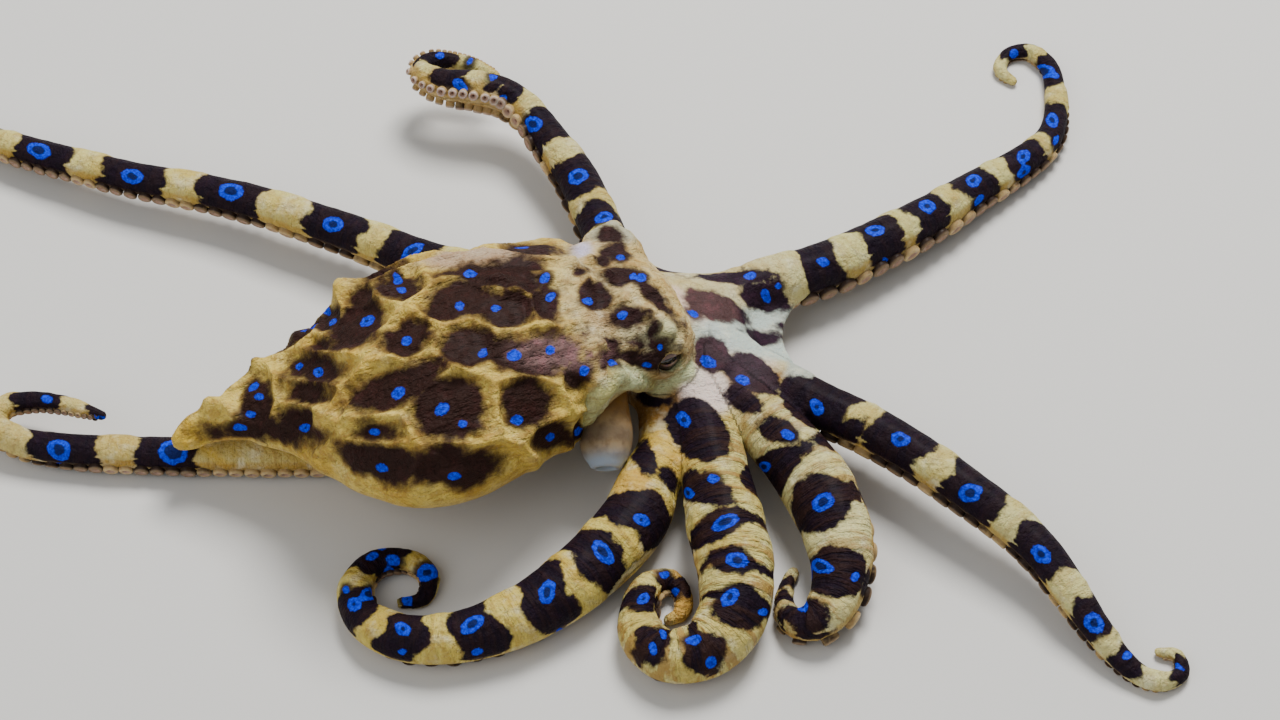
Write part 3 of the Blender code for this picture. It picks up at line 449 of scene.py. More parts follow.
# How much of the web's colour the root of each arm has.
WEB_TINT = {
    "arm_left_1": 1.0, "arm_left_2": 0.4, "arm_left_3": 0.1, "arm_left_4": 0.0,
    "arm_right_4": 0.1, "arm_right_3": 0.35, "arm_right_2": 0.7, "arm_right_1": 1.0,
}
# How much of an oval's foreshortening is undone at most, as a share of its seen size.
LEAST_FACING = 0.45
# How much further than its oval a patch is dark, in mm.
PATCH_GROWTH = {"mantle": 0.5, "head": 0.45, "web": 0.0, "arm": 0.2}
# Angle from the back of an arm, in radians, where its sucker-bearing flank starts.
FLANK_ANGLE = 1.62
# How softly the tints end, in mm.
TINT_EDGE = 1.3
COLLAR_TINT = srgb(198, 202, 150)
# How the flank that bears the suckers differs from the light skin.
GOLDEN = np.array((0.80, 0.62, 0.40))
# Where the bands of the arms start, and where the skin's pieces for the arms do, in mm along them.
BANDS_START = 14.0
ARM_PIECES_START = 14.0
# How far a band reaches to the next ring at most, as a share, and its least and most in mm.
BAND_SHARE = 0.36
BAND_REACH = (0.9, 3.9)
# Space in mm that the first band has towards the root, and the last towards the tip.
ROOT_SPACE = 8.5
TIP_SPACE = 6.0
# Rings that the photo doesn't show: their half length as a share of the arm's radius, how wide they
# are for their length, and the share of an arm where those on its flanks end.
LATER_SIZE = 0.5
HIDDEN_SIZE = 0.36
RING_WIDTH = 0.85
HIDDEN_END = 0.93
# How far from a ring its distance is still told apart, and where the mantle's far side ends, in mm.
RING_REACH = 2.5
MIRROR_END = -9.0
# Widths of the broad and the small folds in mm, and heights in mm of the ridges between dark
# patches and of the broad and small folds, by the part of the body.
BROAD_FOLDS = 3.2
SMALL_FOLDS = 1.1
RELIEF = {"mantle": (0.85, 0.16, 0.10), "head": (0.34, 0.34, 0.22), "web": (0.0, 0.10, 0.05)}
# How far the light bands of the arms swell, in mm, and how much the papillae are raised.
SWELLING = 0.16
PAPILLA_RISE = 1.35

# Linear colours in the shader. The mottle and the purple multiply the skin's own colours.
MOTTLE = (0.86, 0.74, 0.46)
GRAIN = (0.80, 0.72, 0.50)
# Cream of the light skin: partly its own colour and partly painted highlight.
CREAM_AND_HIGHLIGHT = (0.76, 0.73, 0.54)
# Painted shade of fine creases: thin brown lines over the light skin.
CREASE_SHADE = (0.22, 0.12, 0.045)
HALO = (0.15, 0.08, 0.028)
AMBER = (0.26, 0.115, 0.022)
PURPLE = (2.6, 1.9, 2.2)
STREAK = (0.028, 0.012, 0.009)
RING_BLUES = ((0.0, 0.01, 0.38), (0.0, 0.055, 0.82))
RING_MIDDLE = (0.006, 0.010, 0.05)
RING_GLOW = (0.0, 0.06, 1.0)
# Each part of a sucker has two colours, mixed by fine grain.
SUCKER_TINTS = {
    "stalk": (srgb(182, 156, 106), srgb(126, 98, 62)),
    "rim": (srgb(210, 186, 140), srgb(166, 136, 90)),
    "free rim": (srgb(208, 190, 178), srgb(150, 128, 116)),
    "cup": (srgb(190, 160, 140), srgb(146, 112, 96)),
}
# The dark at the cup's bottom is painted shade in its hollow. The darks of the stalk and rim are the
# bands' own colour.
SUCKER_DARKS = {"stalk": srgb(34, 22, 24), "rim": srgb(84, 66, 62), "cup": srgb(112, 82, 70)}
EYE_TINTS = {"iris": srgb(172, 136, 116), "fleck": srgb(118, 88, 76), "edge": srgb(40, 32, 34),
             "slit": srgb(14, 10, 10)}
# Colours of the funnel. The brown of the root is painted shade under the mantle's edge, the band is a
# painted shadow of the inside seen through the wall, and the mouth's dark is painted shade in the
# bore.
FUNNEL_TINTS = {"root": srgb(138, 100, 50), "middle": srgb(160, 138, 104),
                "mottle": srgb(112, 88, 62), "band": srgb(84, 70, 60),
                "end": srgb(166, 178, 192), "mouth": srgb(60, 46, 40)}

# Floor and lamps: the lamps' names, places and sizes in metres, and power in watts.
FLOOR_SIZE = 6000.0
LAMPS = (("key", (0.12, 0.26, 0.45), 0.22, 4.4), ("fill", (-0.35, -0.30, 0.40), 0.5, 1.5))


def clip01(values):
    """Values held between 0 and 1."""
    return np.clip(values, 0.0, 1.0)


def ramp(values, start, width):
    """Rises evenly from 0 at a start to 1 a width further on."""
    return clip01((values - start) / width)


def smooth(share):
    """Eases a share from 0 to 1 in and out."""
    return share * share * (3.0 - 2.0 * share)


def blended(first, second, share):
    return first * (1 - share) + second * share


def unit(vectors):
    """Vectors of length 1 with the same directions."""
    vectors = np.asarray(vectors, float)
    return vectors / np.maximum(np.linalg.norm(vectors, axis=-1, keepdims=True), 1e-9)


FORWARD = unit(-EYE_POINT)
RIGHT = unit(np.cross(FORWARD, UP))
ABOVE = np.cross(RIGHT, FORWARD)
PIXEL = SENSOR / LENS / IMAGE_SIZE[0]
AHEAD = np.array((1.0, 0.0, 0.0))


def smooth_curve(points, steps=None):
    """Rows on a smooth curve through those given: so many for each, or one about every STEP."""
    knots = np.array(points, float)
    knots = np.vstack((knots[0] * 2 - knots[1], knots, knots[-1] * 2 - knots[-2]))
    fine = []
    for a, b, c, d in zip(knots, knots[1:], knots[2:], knots[3:]):
        count = steps or max(2, round(float(np.linalg.norm(c - b)) / STEP))
        t = (np.arange(count) / count)[:, None]
        fine.append((b * 2 + (c - a) * t + (a * 2 - b * 5 + c * 4 - d) * t**2
                     + (b * 3 - a - c * 3 + d) * t**3) / 2)
    return np.vstack((*fine, knots[-2]))


def distances_along(places):
    """How far along a line each of its places is."""
    strides = np.linalg.norm(np.diff(places, axis=0), axis=1)
    return np.concatenate(([0.0], np.cumsum(strides)))


def sucker_radius(arm_radius):
    return np.clip(arm_radius * SUCKER_SHARE, SUCKER_LEAST, SUCKER_MOST)


class Arm:
    """An arm's middle line with its frame, at even steps along it."""

    def __init__(self, name, index):
        plan = ARMS[name]
        self.name, self.index = name, index
        fine = smooth_curve(plan["route"])
        along = distances_along(fine[:, :3])
        radius = fine[:, 3]
        fine[:, 2] += radius * ORAL_DEPTH + sucker_radius(radius) * SUCKER_HEIGHT - FLOOR_PRESS
        self.total = along[-1]
        self.s = np.linspace(0.0, self.total, int(self.total / STEP) + 1)
        x, y, z, self.radius = (np.interp(self.s, along, column) for column in fine.T)
        self.middle = np.stack((x, y, z), axis=1)
        self.ahead = unit(np.gradient(self.middle, axis=0))
        right = unit(np.cross(self.ahead, UP))
        down = np.cross(self.ahead, right)
        shares, angles = zip(*plan["turns"])
        turn = np.radians(np.interp(self.s / self.total, shares, angles))[:, None]
        self.oral = down * np.cos(turn) + right * np.sin(turn)
        self.side = np.cross(self.ahead, self.oral)

    def at(self, distance):
        """Middle, radius, ahead, side and oral direction at distances along the arm."""
        index = np.clip(np.asarray(distance, float) / self.total * (len(self.s) - 1), 0, None)
        low = np.minimum(index.astype(int), len(self.s) - 2)
        share = (index - low)[..., None]
        middle, radius, ahead, side, oral = (
            blended(values[low], values[low + 1], share)
            for values in (self.middle, self.radius[:, None], self.ahead, self.side, self.oral)
        )
        return middle, radius[..., 0], unit(ahead), unit(side), unit(oral)


arms = {name: Arm(name, index) for index, name in enumerate(ARMS)}


class Field:
    """Signed distances to the skin on a grid of points, negative inside."""

    def __init__(self):
        self.size = np.ceil((FIELD_HIGH - FIELD_LOW) / CELL).astype(int) + 1
        self.values = np.full(self.size, FAR, np.float32)
        self.axes = [(low + CELL * np.arange(count)).astype(np.float32)
                     for low, count in zip(FIELD_LOW, self.size)]

    def window(self, low, high):
        """Grid slices that cover a box."""
        start = np.clip(np.floor((np.asarray(low) - FIELD_LOW) / CELL).astype(int), 0, self.size)
        end = np.clip(np.ceil((np.asarray(high) - FIELD_LOW) / CELL).astype(int) + 1, 0, self.size)
        return tuple(slice(a, b) for a, b in zip(start, end))

    def around(self, places, reach):
        """Grid slices that cover places and as far around them as the reach."""
        places = np.asarray(places)
        return self.window(places.min(axis=0) - reach, places.max(axis=0) + reach)

    def points(self, window):
        """Open grids of x, y and z in a window."""
        return np.meshgrid(*(axis[cut] for axis, cut in zip(self.axes, window)),
                           indexing="ij", sparse=True)

    def join(self, window, values, blend):
        """Smooth union with the field, blended over a width in mm."""
        here = self.values[window]
        values = values.astype(np.float32)
        share = clip01(0.5 + 0.5 * (here - values) / blend)
        self.values[window] = blended(here, values, share) - blend * share * (1 - share)

    def cut(self, window, values, blend):
        """Takes a shape away, with its edge rounded over a width in mm."""
        self.values[window] = rounded_meet(self.values[window], -values.astype(np.float32), blend)

    def bars(self, window, bars, margin):
        """Distance to the nearest of many bars, given by their ends, radii and frames."""
        values = np.full([cut.stop - cut.start for cut in window], FAR, np.float32)
        for a, b, *form in bars:
            near = self.around((a, b), max(form[:2]) + margin)
            local = tuple(slice(cut.start - whole.start, cut.stop - whole.start)
                          for cut, whole in zip(near, window))
            distance = segment_distance(self.points(near), a, b, *form)
            values[local] = np.minimum(values[local], distance)
        return values

    def sample(self, points):
        """Distance and outward slope at any points."""
        place = np.clip((points - FIELD_LOW) / CELL, 0.0, self.size - 1.001)
        low = place.astype(int)
        x, y, z = low.T
        fx, fy, fz = (place - low).T
        corner = [[[self.values[x + i, y + j, z + k] for k in (0, 1)] for j in (0, 1)]
                  for i in (0, 1)]
        rows = [[blended(*pair, fz) for pair in side] for side in corner]
        flat = [blended(*row, fy) for row in rows]
        rise = [[pair[1] - pair[0] for pair in side] for side in corner]
        slope = (flat[1] - flat[0],
                 blended(rows[0][1] - rows[0][0], rows[1][1] - rows[1][0], fx),
                 blended(blended(*rise[0], fy), blended(*rise[1], fy), fx))
        return blended(*flat, fx), np.stack(slope, axis=1) / CELL

    def settle(self, points, rounds=3):
        """Moves points onto the field's zero."""
        for _ in range(rounds):
            value, slope = self.sample(points)
            square = np.maximum((slope**2).sum(axis=1), 0.15)
            points = points - slope * (value / square)[:, None] * 0.9
        return points

    def on_skin(self, point):
        """The point of the skin next to a point."""
        return self.settle(point[None, :])[0]

    def outward(self, point):
        """Direction that the skin faces at a point."""
        return unit(self.sample(point[None, :])[1][0])

    def seen(self, px, py):
        """Point of the skin under a place in the photo's frame."""
        ray = unit(FORWARD + RIGHT * ((px - IMAGE_SIZE[0] / 2) * PIXEL)
                   - ABOVE * ((py - IMAGE_SIZE[1] / 2) * PIXEL))
        start = (FIELD_HIGH[2] - EYE_POINT[2]) / ray[2]
        end = -EYE_POINT[2] / ray[2]
        points = EYE_POINT + ray * np.arange(start, end, RAY_STEP)[:, None]
        value, _ = self.sample(points)
        hit = np.flatnonzero(value < 0.0)
        index = hit[0] if len(hit) else np.argmin(value)
        return self.on_skin(points[index])


def ball_distance(grid, centre, radius):
    x, y, z = grid
    return np.sqrt((x - centre[0])**2 + (y - centre[1])**2 + (z - centre[2])**2) - radius


def segment_distance(grid, a, b, radius_a, radius_b, side=None, oral=None):
    """Distance to a round bar, or to one flattened above and below where a frame is given."""
    x, y, z = grid
    run = b - a
    px, py, pz = x - a[0], y - a[1], z - a[2]
    share = clip01((px * run[0] + py * run[1] + pz * run[2]) / float(run @ run))
    vx, vy, vz = px - share * run[0], py - share * run[1], pz - share * run[2]
    length = np.sqrt(vx * vx + vy * vy + vz * vz) + 1e-6
    radius = radius_a + (radius_b - radius_a) * share
    if side is None:
        return length - radius
    across = (vx * side[0] + vy * side[1] + vz * side[2]) / length
    below = (vx * oral[0] + vy * oral[1] + vz * oral[2]) / length
    depth = np.where(below > 0.0, ORAL_DEPTH, DORSAL_DEPTH)
    rest = clip01(1.0 - across * across)
    return length - radius / np.sqrt(across * across + rest / depth**2)


def section_distance(along, across, height, stations):
    """Distance to a body whose oval sections are given at places along it."""
    fine = smooth_curve(stations, SECTIONS // (len(stations) - 1))
    middle, level, width, depth = (np.interp(along, fine[:, 0], column) for column in fine.T[1:])
    y = across - middle
    z = height - level
    ratio = np.sqrt((y / width)**2 + (z / depth)**2) + 1e-4
    radial = np.sqrt(y * y + z * z) + 1e-4
    return radial * (1.0 - 1.0 / ratio)


def rounded_meet(a, b, blend):
    """Distance to the part that two solids share, with its edge rounded."""
    share = clip01(0.5 - 0.5 * (b - a) / blend)
    return blended(b, a, share) + blend * share * (1 - share)


def lay_mantle(field):
    window = field.window(*MANTLE_BOX)
    x, y, z = field.points(window)
    near = section_distance(x + 0 * y, y + 0 * x, z, MANTLE_STATIONS)
    front = (x - COLLAR_POINT[0]) * COLLAR_FACES[0] + (y - COLLAR_POINT[1]) * COLLAR_FACES[1]
    back, ahead = MANTLE_STATIONS[0][0] - x, x - MANTLE_STATIONS[-1][0]
    for side, rounding in zip((front, ahead, back), MANTLE_ROUNDING):
        near = rounded_meet(near, side + 0 * near, rounding)
    field.join(window, np.minimum(near, FAR), MANTLE_BLEND)


def head_places(x, y):
    """Places along and across the head, and its stations measured the same way."""
    cos, sin = math.cos(HEAD_HEADING), math.sin(HEAD_HEADING)
    stations = [(sx * cos + sy * sin, sy * cos - sx * sin, *rest)
                for sx, sy, *rest in HEAD_STATIONS]
    return x * cos + y * sin, y * cos - x * sin, stations


def lay_head(field):
    window = field.window(*HEAD_BOX)
    grid = field.points(window)
    x, y, z = grid
    along, across, stations = head_places(x, y)
    near = section_distance(along, across, z, stations)
    for side, rounding in zip((along - stations[-1][0], stations[0][0] - along), HEAD_ROUNDING):
        near = rounded_meet(near, side + 0 * z, rounding)
    # The mantle meets the head softly on top and stands off it as a collar lower down.
    field.join(window, np.minimum(near, FAR), np.interp(z - 0.35 * y, *HEAD_BLEND))
    for name, centre in EYES.items():
        inset = centre - unit(EYE_OUTWARD[name]) * TURRET_INSET
        field.join(window, ball_distance(grid, inset, TURRET_RADIUS), TURRET_BLEND)


def lay_collar(field):
    """A wavy raised edge along the front of the mantle, and the places that it passes."""
    points = np.array([field.seen(px, py) for px, py in COLLAR_LINE])
    line = smooth_curve(points)
    along = distances_along(line)
    line[:, 2] += COLLAR_WAVE * np.sin(along * 2.1) * np.sin(along * 0.37 + 1.0)
    for a, b in zip(line, line[1:]):
        window = field.around((a, b), 2.0)
        near = segment_distance(field.points(window), a, b, COLLAR_RADIUS, COLLAR_RADIUS)
        field.join(window, near, COLLAR_BLEND)
    return line


def lay_crown(field):
    window = field.window(DOME_CENTRE - DOME_RADII - FAR, DOME_CENTRE + DOME_RADII + FAR)
    grid = field.points(window)
    px, py, pz = ((v - c) / r for v, c, r in zip(grid, DOME_CENTRE, DOME_RADII))
    ratio = np.sqrt(px**2 + py**2 + pz**2) + 1e-4
    near = ball_distance(grid, DOME_CENTRE, 0.0) * (1 - 1 / ratio)
    field.join(window, np.minimum(near, FAR), CROWN_BLEND)


def lay_arm(field, arm):
    """Joins one arm to the field, more softly near the crown than further out."""
    bars = []
    for i in range(0, len(arm.s) - 1, BAR_STEPS):
        j = min(i + BAR_STEPS, len(arm.s) - 1)
        half = (i + j) // 2
        bars.append((arm.middle[i], arm.middle[j], arm.radius[i], arm.radius[j],
                     arm.side[half], arm.oral[half]))
    window = field.around(arm.middle, arm.radius.max() + FAR)
    x, y, _ = field.points(window)
    out = np.sqrt((x - DOME_CENTRE[0])**2 + (y - DOME_CENTRE[1])**2)
    blend = np.interp(out, *ARM_BLEND).astype(np.float32)
    field.join(window, field.bars(window, bars, 1.3), blend)


def lay_web(field, first, second, first_reach, second_reach):
    """A thin sheet between two arms, as bars side by side."""
    rows = int(max(first_reach, second_reach) / WEB_ROW)
    places, bars = [], []
    for i in range(2, rows + 1):
        line = []
        for share in np.linspace(0.0, 1.0, WEB_BARS + 1):
            inward = 4.0 * share * (1.0 - share)
            out = i / rows * (1.0 - WEB_EDGE_CURVE * inward)
            a = first.at(first_reach * out)[0]
            b = second.at(second_reach * out)[0]
            line.append(a + (b - a) * share - UP * WEB_SAG * inward * out)
        places += line
        bars += [(a, b, WEB_HALF_THICKNESS, WEB_HALF_THICKNESS) for a, b in zip(line, line[1:])]
    window = field.around(places, FAR)
    field.join(window, field.bars(window, bars, 1.2), WEB_BLEND)


def eye_frame(name):
    """Directions across, above and out of an eye."""
    outward = unit(EYE_OUTWARD[name])
    across = unit(np.cross(outward, UP))
    return across, np.cross(across, outward), outward


def open_eyes(field):
    """Sockets for the eyeballs, each with an opening longer than it is high and raised lids."""
    for name, centre in EYES.items():
        window = field.around([centre], 6.0)
        grid = field.points(window)
        offset = [places - c for places, c in zip(grid, centre)]
        u, v, out = (sum(o * d for o, d in zip(offset, axis)) for axis in eye_frame(name))
        past_edge = np.sqrt((u / EYE_OPENING[0])**2 + (v / EYE_OPENING[1])**2) - 1.0
        lids = np.sqrt(past_edge**2 * 1.6 + (out - EYE_RADIUS * 0.86)**2) - LID_RADIUS
        field.join(window, lids, 0.7)
        field.cut(window, rounded_meet(past_edge * 1.3, -out + 0.2, 0.3), 0.25)
        field.cut(window, ball_distance(grid, centre, EYE_RADIUS + 0.03), 0.1)


def open_mouth(field):
    """Lips and the mouth under the crown."""
    centre = np.array((DOME_CENTRE[0], DOME_CENTRE[1], MOUTH_HEIGHT))
    window = field.around([centre], 5.0)
    x, y, z = field.points(window)
    out = np.sqrt((x - centre[0])**2 + (y - centre[1])**2)
    lips = np.sqrt((out - LIPS_ACROSS)**2 + (z - centre[2])**2) - LIP_RADIUS
    field.join(window, lips, 0.8)
    field.cut(window, np.maximum(out - MOUTH_RADIUS, z - centre[2] - MOUTH_DEPTH), 0.5)


def build_field():
    """The whole skin's field, and the line of the collar."""
    field = Field()
    lay_mantle(field)
    lay_head(field)
    collar = lay_collar(field)
    lay_crown(field)
    for arm in arms.values():
        lay_arm(field, arm)
    for first, second, *reaches in WEBS:
        lay_web(field, arms[first], arms[second], *reaches)
    open_eyes(field)
    open_mouth(field)
    return field, collar


def surface_of(field):
    """Points and four-cornered faces where the field changes sign, one point in each cell."""
    inside = field.values < 0.0
    corners = np.array([(i, j, k) for i in (0, 1) for j in (0, 1) for k in (0, 1)])
    total = np.zeros(field.size - 1, np.int8)
    for corner in corners:
        total += inside[tuple(slice(c, c + n) for c, n in zip(corner, total.shape))]
    cells = np.argwhere((total > 0) & (total < 8))
    number = np.full(total.shape, -1, np.int32)
    number[tuple(cells.T)] = np.arange(len(cells))
    summed = np.zeros((len(cells), 3))
    hits = np.zeros(len(cells))
    for a in corners:
        for b in corners:
            step = b - a
            if step.min() < 0 or step.sum() != 1:
                continue
            first = field.values[tuple((cells + a).T)]
            second = field.values[tuple((cells + b).T)]
            crossed = (first < 0.0) != (second < 0.0)
            share = np.where(crossed, first / np.where(crossed, first - second, 1.0), 0.0)
            summed += (a + share[:, None] * step) * crossed[:, None]
            hits += crossed
    points = FIELD_LOW + (cells + summed / hits[:, None]) * CELL
    faces = []
    for axis in range(3):
        low, high = [slice(1, -1)] * 3, [slice(1, -1)] * 3
        low[axis], high[axis] = slice(0, -1), slice(1, None)
        here, there = inside[tuple(low)], inside[tuple(high)]
        for starts_inside in (True, False):
            edges = np.argwhere((here != there) & (here == starts_inside))
            edges = edges + (np.arange(3) != axis)
            ring = []
            for u, v in ((0, 0), (-1, 0), (-1, -1), (0, -1)):
                cell = edges.copy()
                cell[:, (axis + 1) % 3] += u
                cell[:, (axis + 2) % 3] += v
                ring.append(number[tuple(cell.T)])
            quad = np.stack(ring, axis=1)
            faces.append(quad if starts_inside else quad[:, ::-1])
    return points, np.vstack(faces)


class NearestArm:
    """For points of the skin: the nearest arm, the distance along it and the angle round it."""

    def __init__(self):
        self.owner = np.array([(arm.index, i) for arm in arms.values() for i in range(len(arm.s))])
        self.tree = kdtree.KDTree(len(self.owner))
        for number, place in enumerate(np.vstack([arm.middle for arm in arms.values()])):
            self.tree.insert(place, number)
        self.tree.balance()

    def find(self, points):
        found = np.array([self.tree.find(point)[1] for point in points])
        index, step = self.owner[found].T
        along, angle, gap = np.empty((3, len(points)))
        for arm in arms.values():
            mine = index == arm.index
            i = step[mine]
            offset = points[mine] - arm.middle[i]
            shift, across, below = ((offset * axis[i]).sum(axis=1)
                                    for axis in (arm.ahead, arm.side, arm.oral))
            along[mine] = arm.s[i] + np.clip(shift, -STEP, STEP)
            angle[mine] = np.arctan2(across, -below)
            gap[mine] = np.hypot(across, below) - arm.radius[i]
        return index, along, angle, gap


class Mark:
    """An oval on the skin: its centre, the direction it faces and its two half axes in mm."""

    def __init__(self, centre, out, first, second):
        self.centre, self.out = centre, out
        first, second = (axis - out * (axis @ out) for axis in (first, second))
        self.halves = (float(np.linalg.norm(first)), float(np.linalg.norm(second)))
        self.across = unit(first)
        self.up = np.cross(out, self.across)
        self.inverse = np.linalg.inv(np.array([[axis @ place for axis in (first, second)]
                                               for place in (self.across, self.up)]))

    def places(self, points):
        """Coordinates on the oval, 1 at its edge, and the height over it in mm."""
        offset = points - self.centre
        u, v = self.inverse @ np.stack((offset @ self.across, offset @ self.up))
        return u, v, offset @ self.out

    def inner(self, points):
        """Distance in mm inside the oval's edge, negative outside."""
        u, v, height = self.places(points)
        return min(self.halves) * (1.0 - np.sqrt(u * u + v * v)) - 0.2 * np.abs(height)


def seen_mark(field, px, py, length, width, tilt=0, share=1.0):
    """An oval that looks as long, wide and tilted as given, in pixels and degrees, in the photo."""
    centre = field.seen(px, py)
    out = field.outward(centre)
    scale = PIXEL * np.linalg.norm(centre - EYE_POINT) / 2 * share
    cos, sin = math.cos(math.radians(tilt)), math.sin(math.radians(tilt))
    facing = min(FORWARD @ out, -LEAST_FACING)
    axes = ((RIGHT * cos + ABOVE * sin) * length, (ABOVE * cos - RIGHT * sin) * width)
    return Mark(centre, out, *((axis - FORWARD * ((axis @ out) / facing)) * scale for axis in axes))


def seen_marks(field, ovals):
    return [seen_mark(field, *oval) for oval in ovals]


def lying_mark(field, centre, ahead, length, width):
    """An oval at a point of the skin, with its length ahead and its half axes in mm."""
    out = field.outward(centre)
    first = unit(ahead - out * (ahead @ out))
    return Mark(centre, out, first * length, np.cross(out, first) * width)


def mirrored_marks(field, marks):
    """Copies of the mantle's marks on its far side, where the photo doesn't show it."""
    copies = []
    places, middles = zip(*[row[:2] for row in MANTLE_STATIONS])
    for mark in marks:
        centre = mark.centre.copy()
        centre[1] = 2 * np.interp(centre[0], places, middles) - centre[1]
        centre = field.on_skin(centre)
        if field.outward(centre) @ FORWARD > -0.3 and centre[0] < MIRROR_END:
            copies.append(lying_mark(field, centre, AHEAD, *mark.halves))
    return copies


def arm_place(nearest, centre, arm=None):
    """The arm that a point is on, unless it's given, and how far along it the point is."""
    index, along, _, _ = nearest.find(centre[None, :])
    arm = arm or list(arms.values())[index[0]]
    if index[0] == arm.index:
        return arm, float(along[0])
    return arm, float(arm.s[np.argmin(np.linalg.norm(arm.middle - centre, axis=1))])


def ring_marks(field, nearest):
    """Rings of the arms, with the arm, the distance along it and whether a dark band bears it."""
    owned = [(ring, arms[name]) for name, rings in ARM_RINGS.items() for ring in rings]
    marks = []
    for ring, owner in owned + [(ring, None) for ring in SIDE_RINGS]:
        mark = seen_mark(field, *ring, share=RING_SIZE)
        marks.append((mark, *arm_place(nearest, mark.centre, owner), owner is not None))
    for name, steps in LATER_RINGS.items():
        arm = arms[name]
        last = max(along for _, owner, along, _ in marks if owner is arm)
        for along in (last + step for step in steps):
            middle, radius, ahead, _, oral = arm.at(along)
            centre, size = field.on_skin(middle - oral * radius), radius * LATER_SIZE
            mark = lying_mark(field, centre, ahead, size, size * RING_WIDTH)
            marks.append((mark, arm, along, True))
    return marks


def hidden_rings(field, marks):
    """Rings on the flanks that the photo doesn't show, one beside each main ring."""
    copies = []
    for _, arm, along, main in marks:
        if not main or along > arm.total * HIDDEN_END:
            continue
        middle, radius, ahead, side, oral = arm.at(along)
        for sign in (-1.0, 1.0):
            out = unit(side * sign * 0.9 - oral * 0.42)
            if out @ FORWARD > 0.15:
                centre, size = field.on_skin(middle + out * radius), radius * HIDDEN_SIZE
                copies.append(lying_mark(field, centre, ahead, size, size * RING_WIDTH))
    return copies


def band_field(arm, marks, along, angle):
    """Distance in mm inside the dark bands of an arm, one at each main ring."""
    centres = sorted(place for _, owner, place, main in marks if main and owner is arm)
    centres += DARK_TIPS.get(arm.name, [])
    centres = [centres[0] - ROOT_SPACE, *centres, min(centres[-1] + TIP_SPACE, arm.total + 1.0)]
    inner = np.full(len(along), -9.0)
    taper = BAND_TAPER.get(arm.name, 0.0)
    thin = 1.0 - taper * (1.0 - np.cos(angle - BAND_MIDDLE.get(arm.name, 0.0))) / 2
    share = BAND_SHARE * BAND_WIDTH.get(arm.name, 1.0)
    for number, (before, centre, after) in enumerate(zip(centres, centres[1:], centres[2:])):
        slant = 0.5 * math.sin(number * 2.4 + arm.index)
        lean = slant * np.sin(angle) + 0.35 * np.sin(angle * 3 + number * 1.7 + arm.index)
        back, front = (np.clip(space * share, *BAND_REACH) * thin
                       for space in (centre - before, after - centre))
        offset = along - centre - lean
        inner = np.maximum(inner, np.where(offset < 0.0, back + offset, front - offset))
    return inner


def mantle_gap(points):
    x, y, z = points.T
    near = section_distance(x, y, z, MANTLE_STATIONS)
    return np.maximum(near, np.maximum(MANTLE_STATIONS[0][0] - x, (x + 6.0) * 0.5))


def head_gap(points):
    along, across, stations = head_places(*points.T[:2])
    near = section_distance(along, across, points[:, 2], stations)
    near = np.maximum(near, np.maximum(stations[1][0] - along, along - stations[-1][0]))
    for centre in EYES.values():
        near = np.minimum(near, np.linalg.norm(points - centre, axis=1) - TURRET_RADIUS - 0.4)
    return near


def weights_of(points, arm_gap):
    """How much each point belongs to the mantle, head, arms and web."""
    gaps = np.stack((mantle_gap(points), head_gap(points) + 0.15, arm_gap, np.ones(len(points))))
    weight = np.exp(-np.maximum(gaps, 0.0) / WEIGHT_WIDTH)
    return weight / weight.sum(axis=0)


def fine_noise(points, scale, seed):
    """Smooth noise from -1 to 1 at points, with a size in mm."""
    shift = Vector((seed * 7.3, seed * 3.1, seed * 5.7))
    return np.array([noise.noise(Vector(point) / scale + shift) for point in points])


def line_gap(points, line):
    """Distance in mm from each point to the nearest point of a line, up to LINE_REACH."""
    best = np.full(len(points), LINE_REACH)
    low, high = line.min(axis=0) - LINE_REACH, line.max(axis=0) + LINE_REACH
    near = np.flatnonzero(((points > low) & (points < high)).all(axis=1))
    for place in line:
        best[near] = np.minimum(best[near], np.linalg.norm(points[near] - place, axis=1))
    return best


def vertex_normals(points, faces):
    first = points[faces[:, 2]] - points[faces[:, 0]]
    second = points[faces[:, 3]] - points[faces[:, 1]]
    across = np.cross(first, second)
    normals = np.zeros_like(points)
    for corner in range(4):
        np.add.at(normals, faces[:, corner], across)
    return unit(normals)


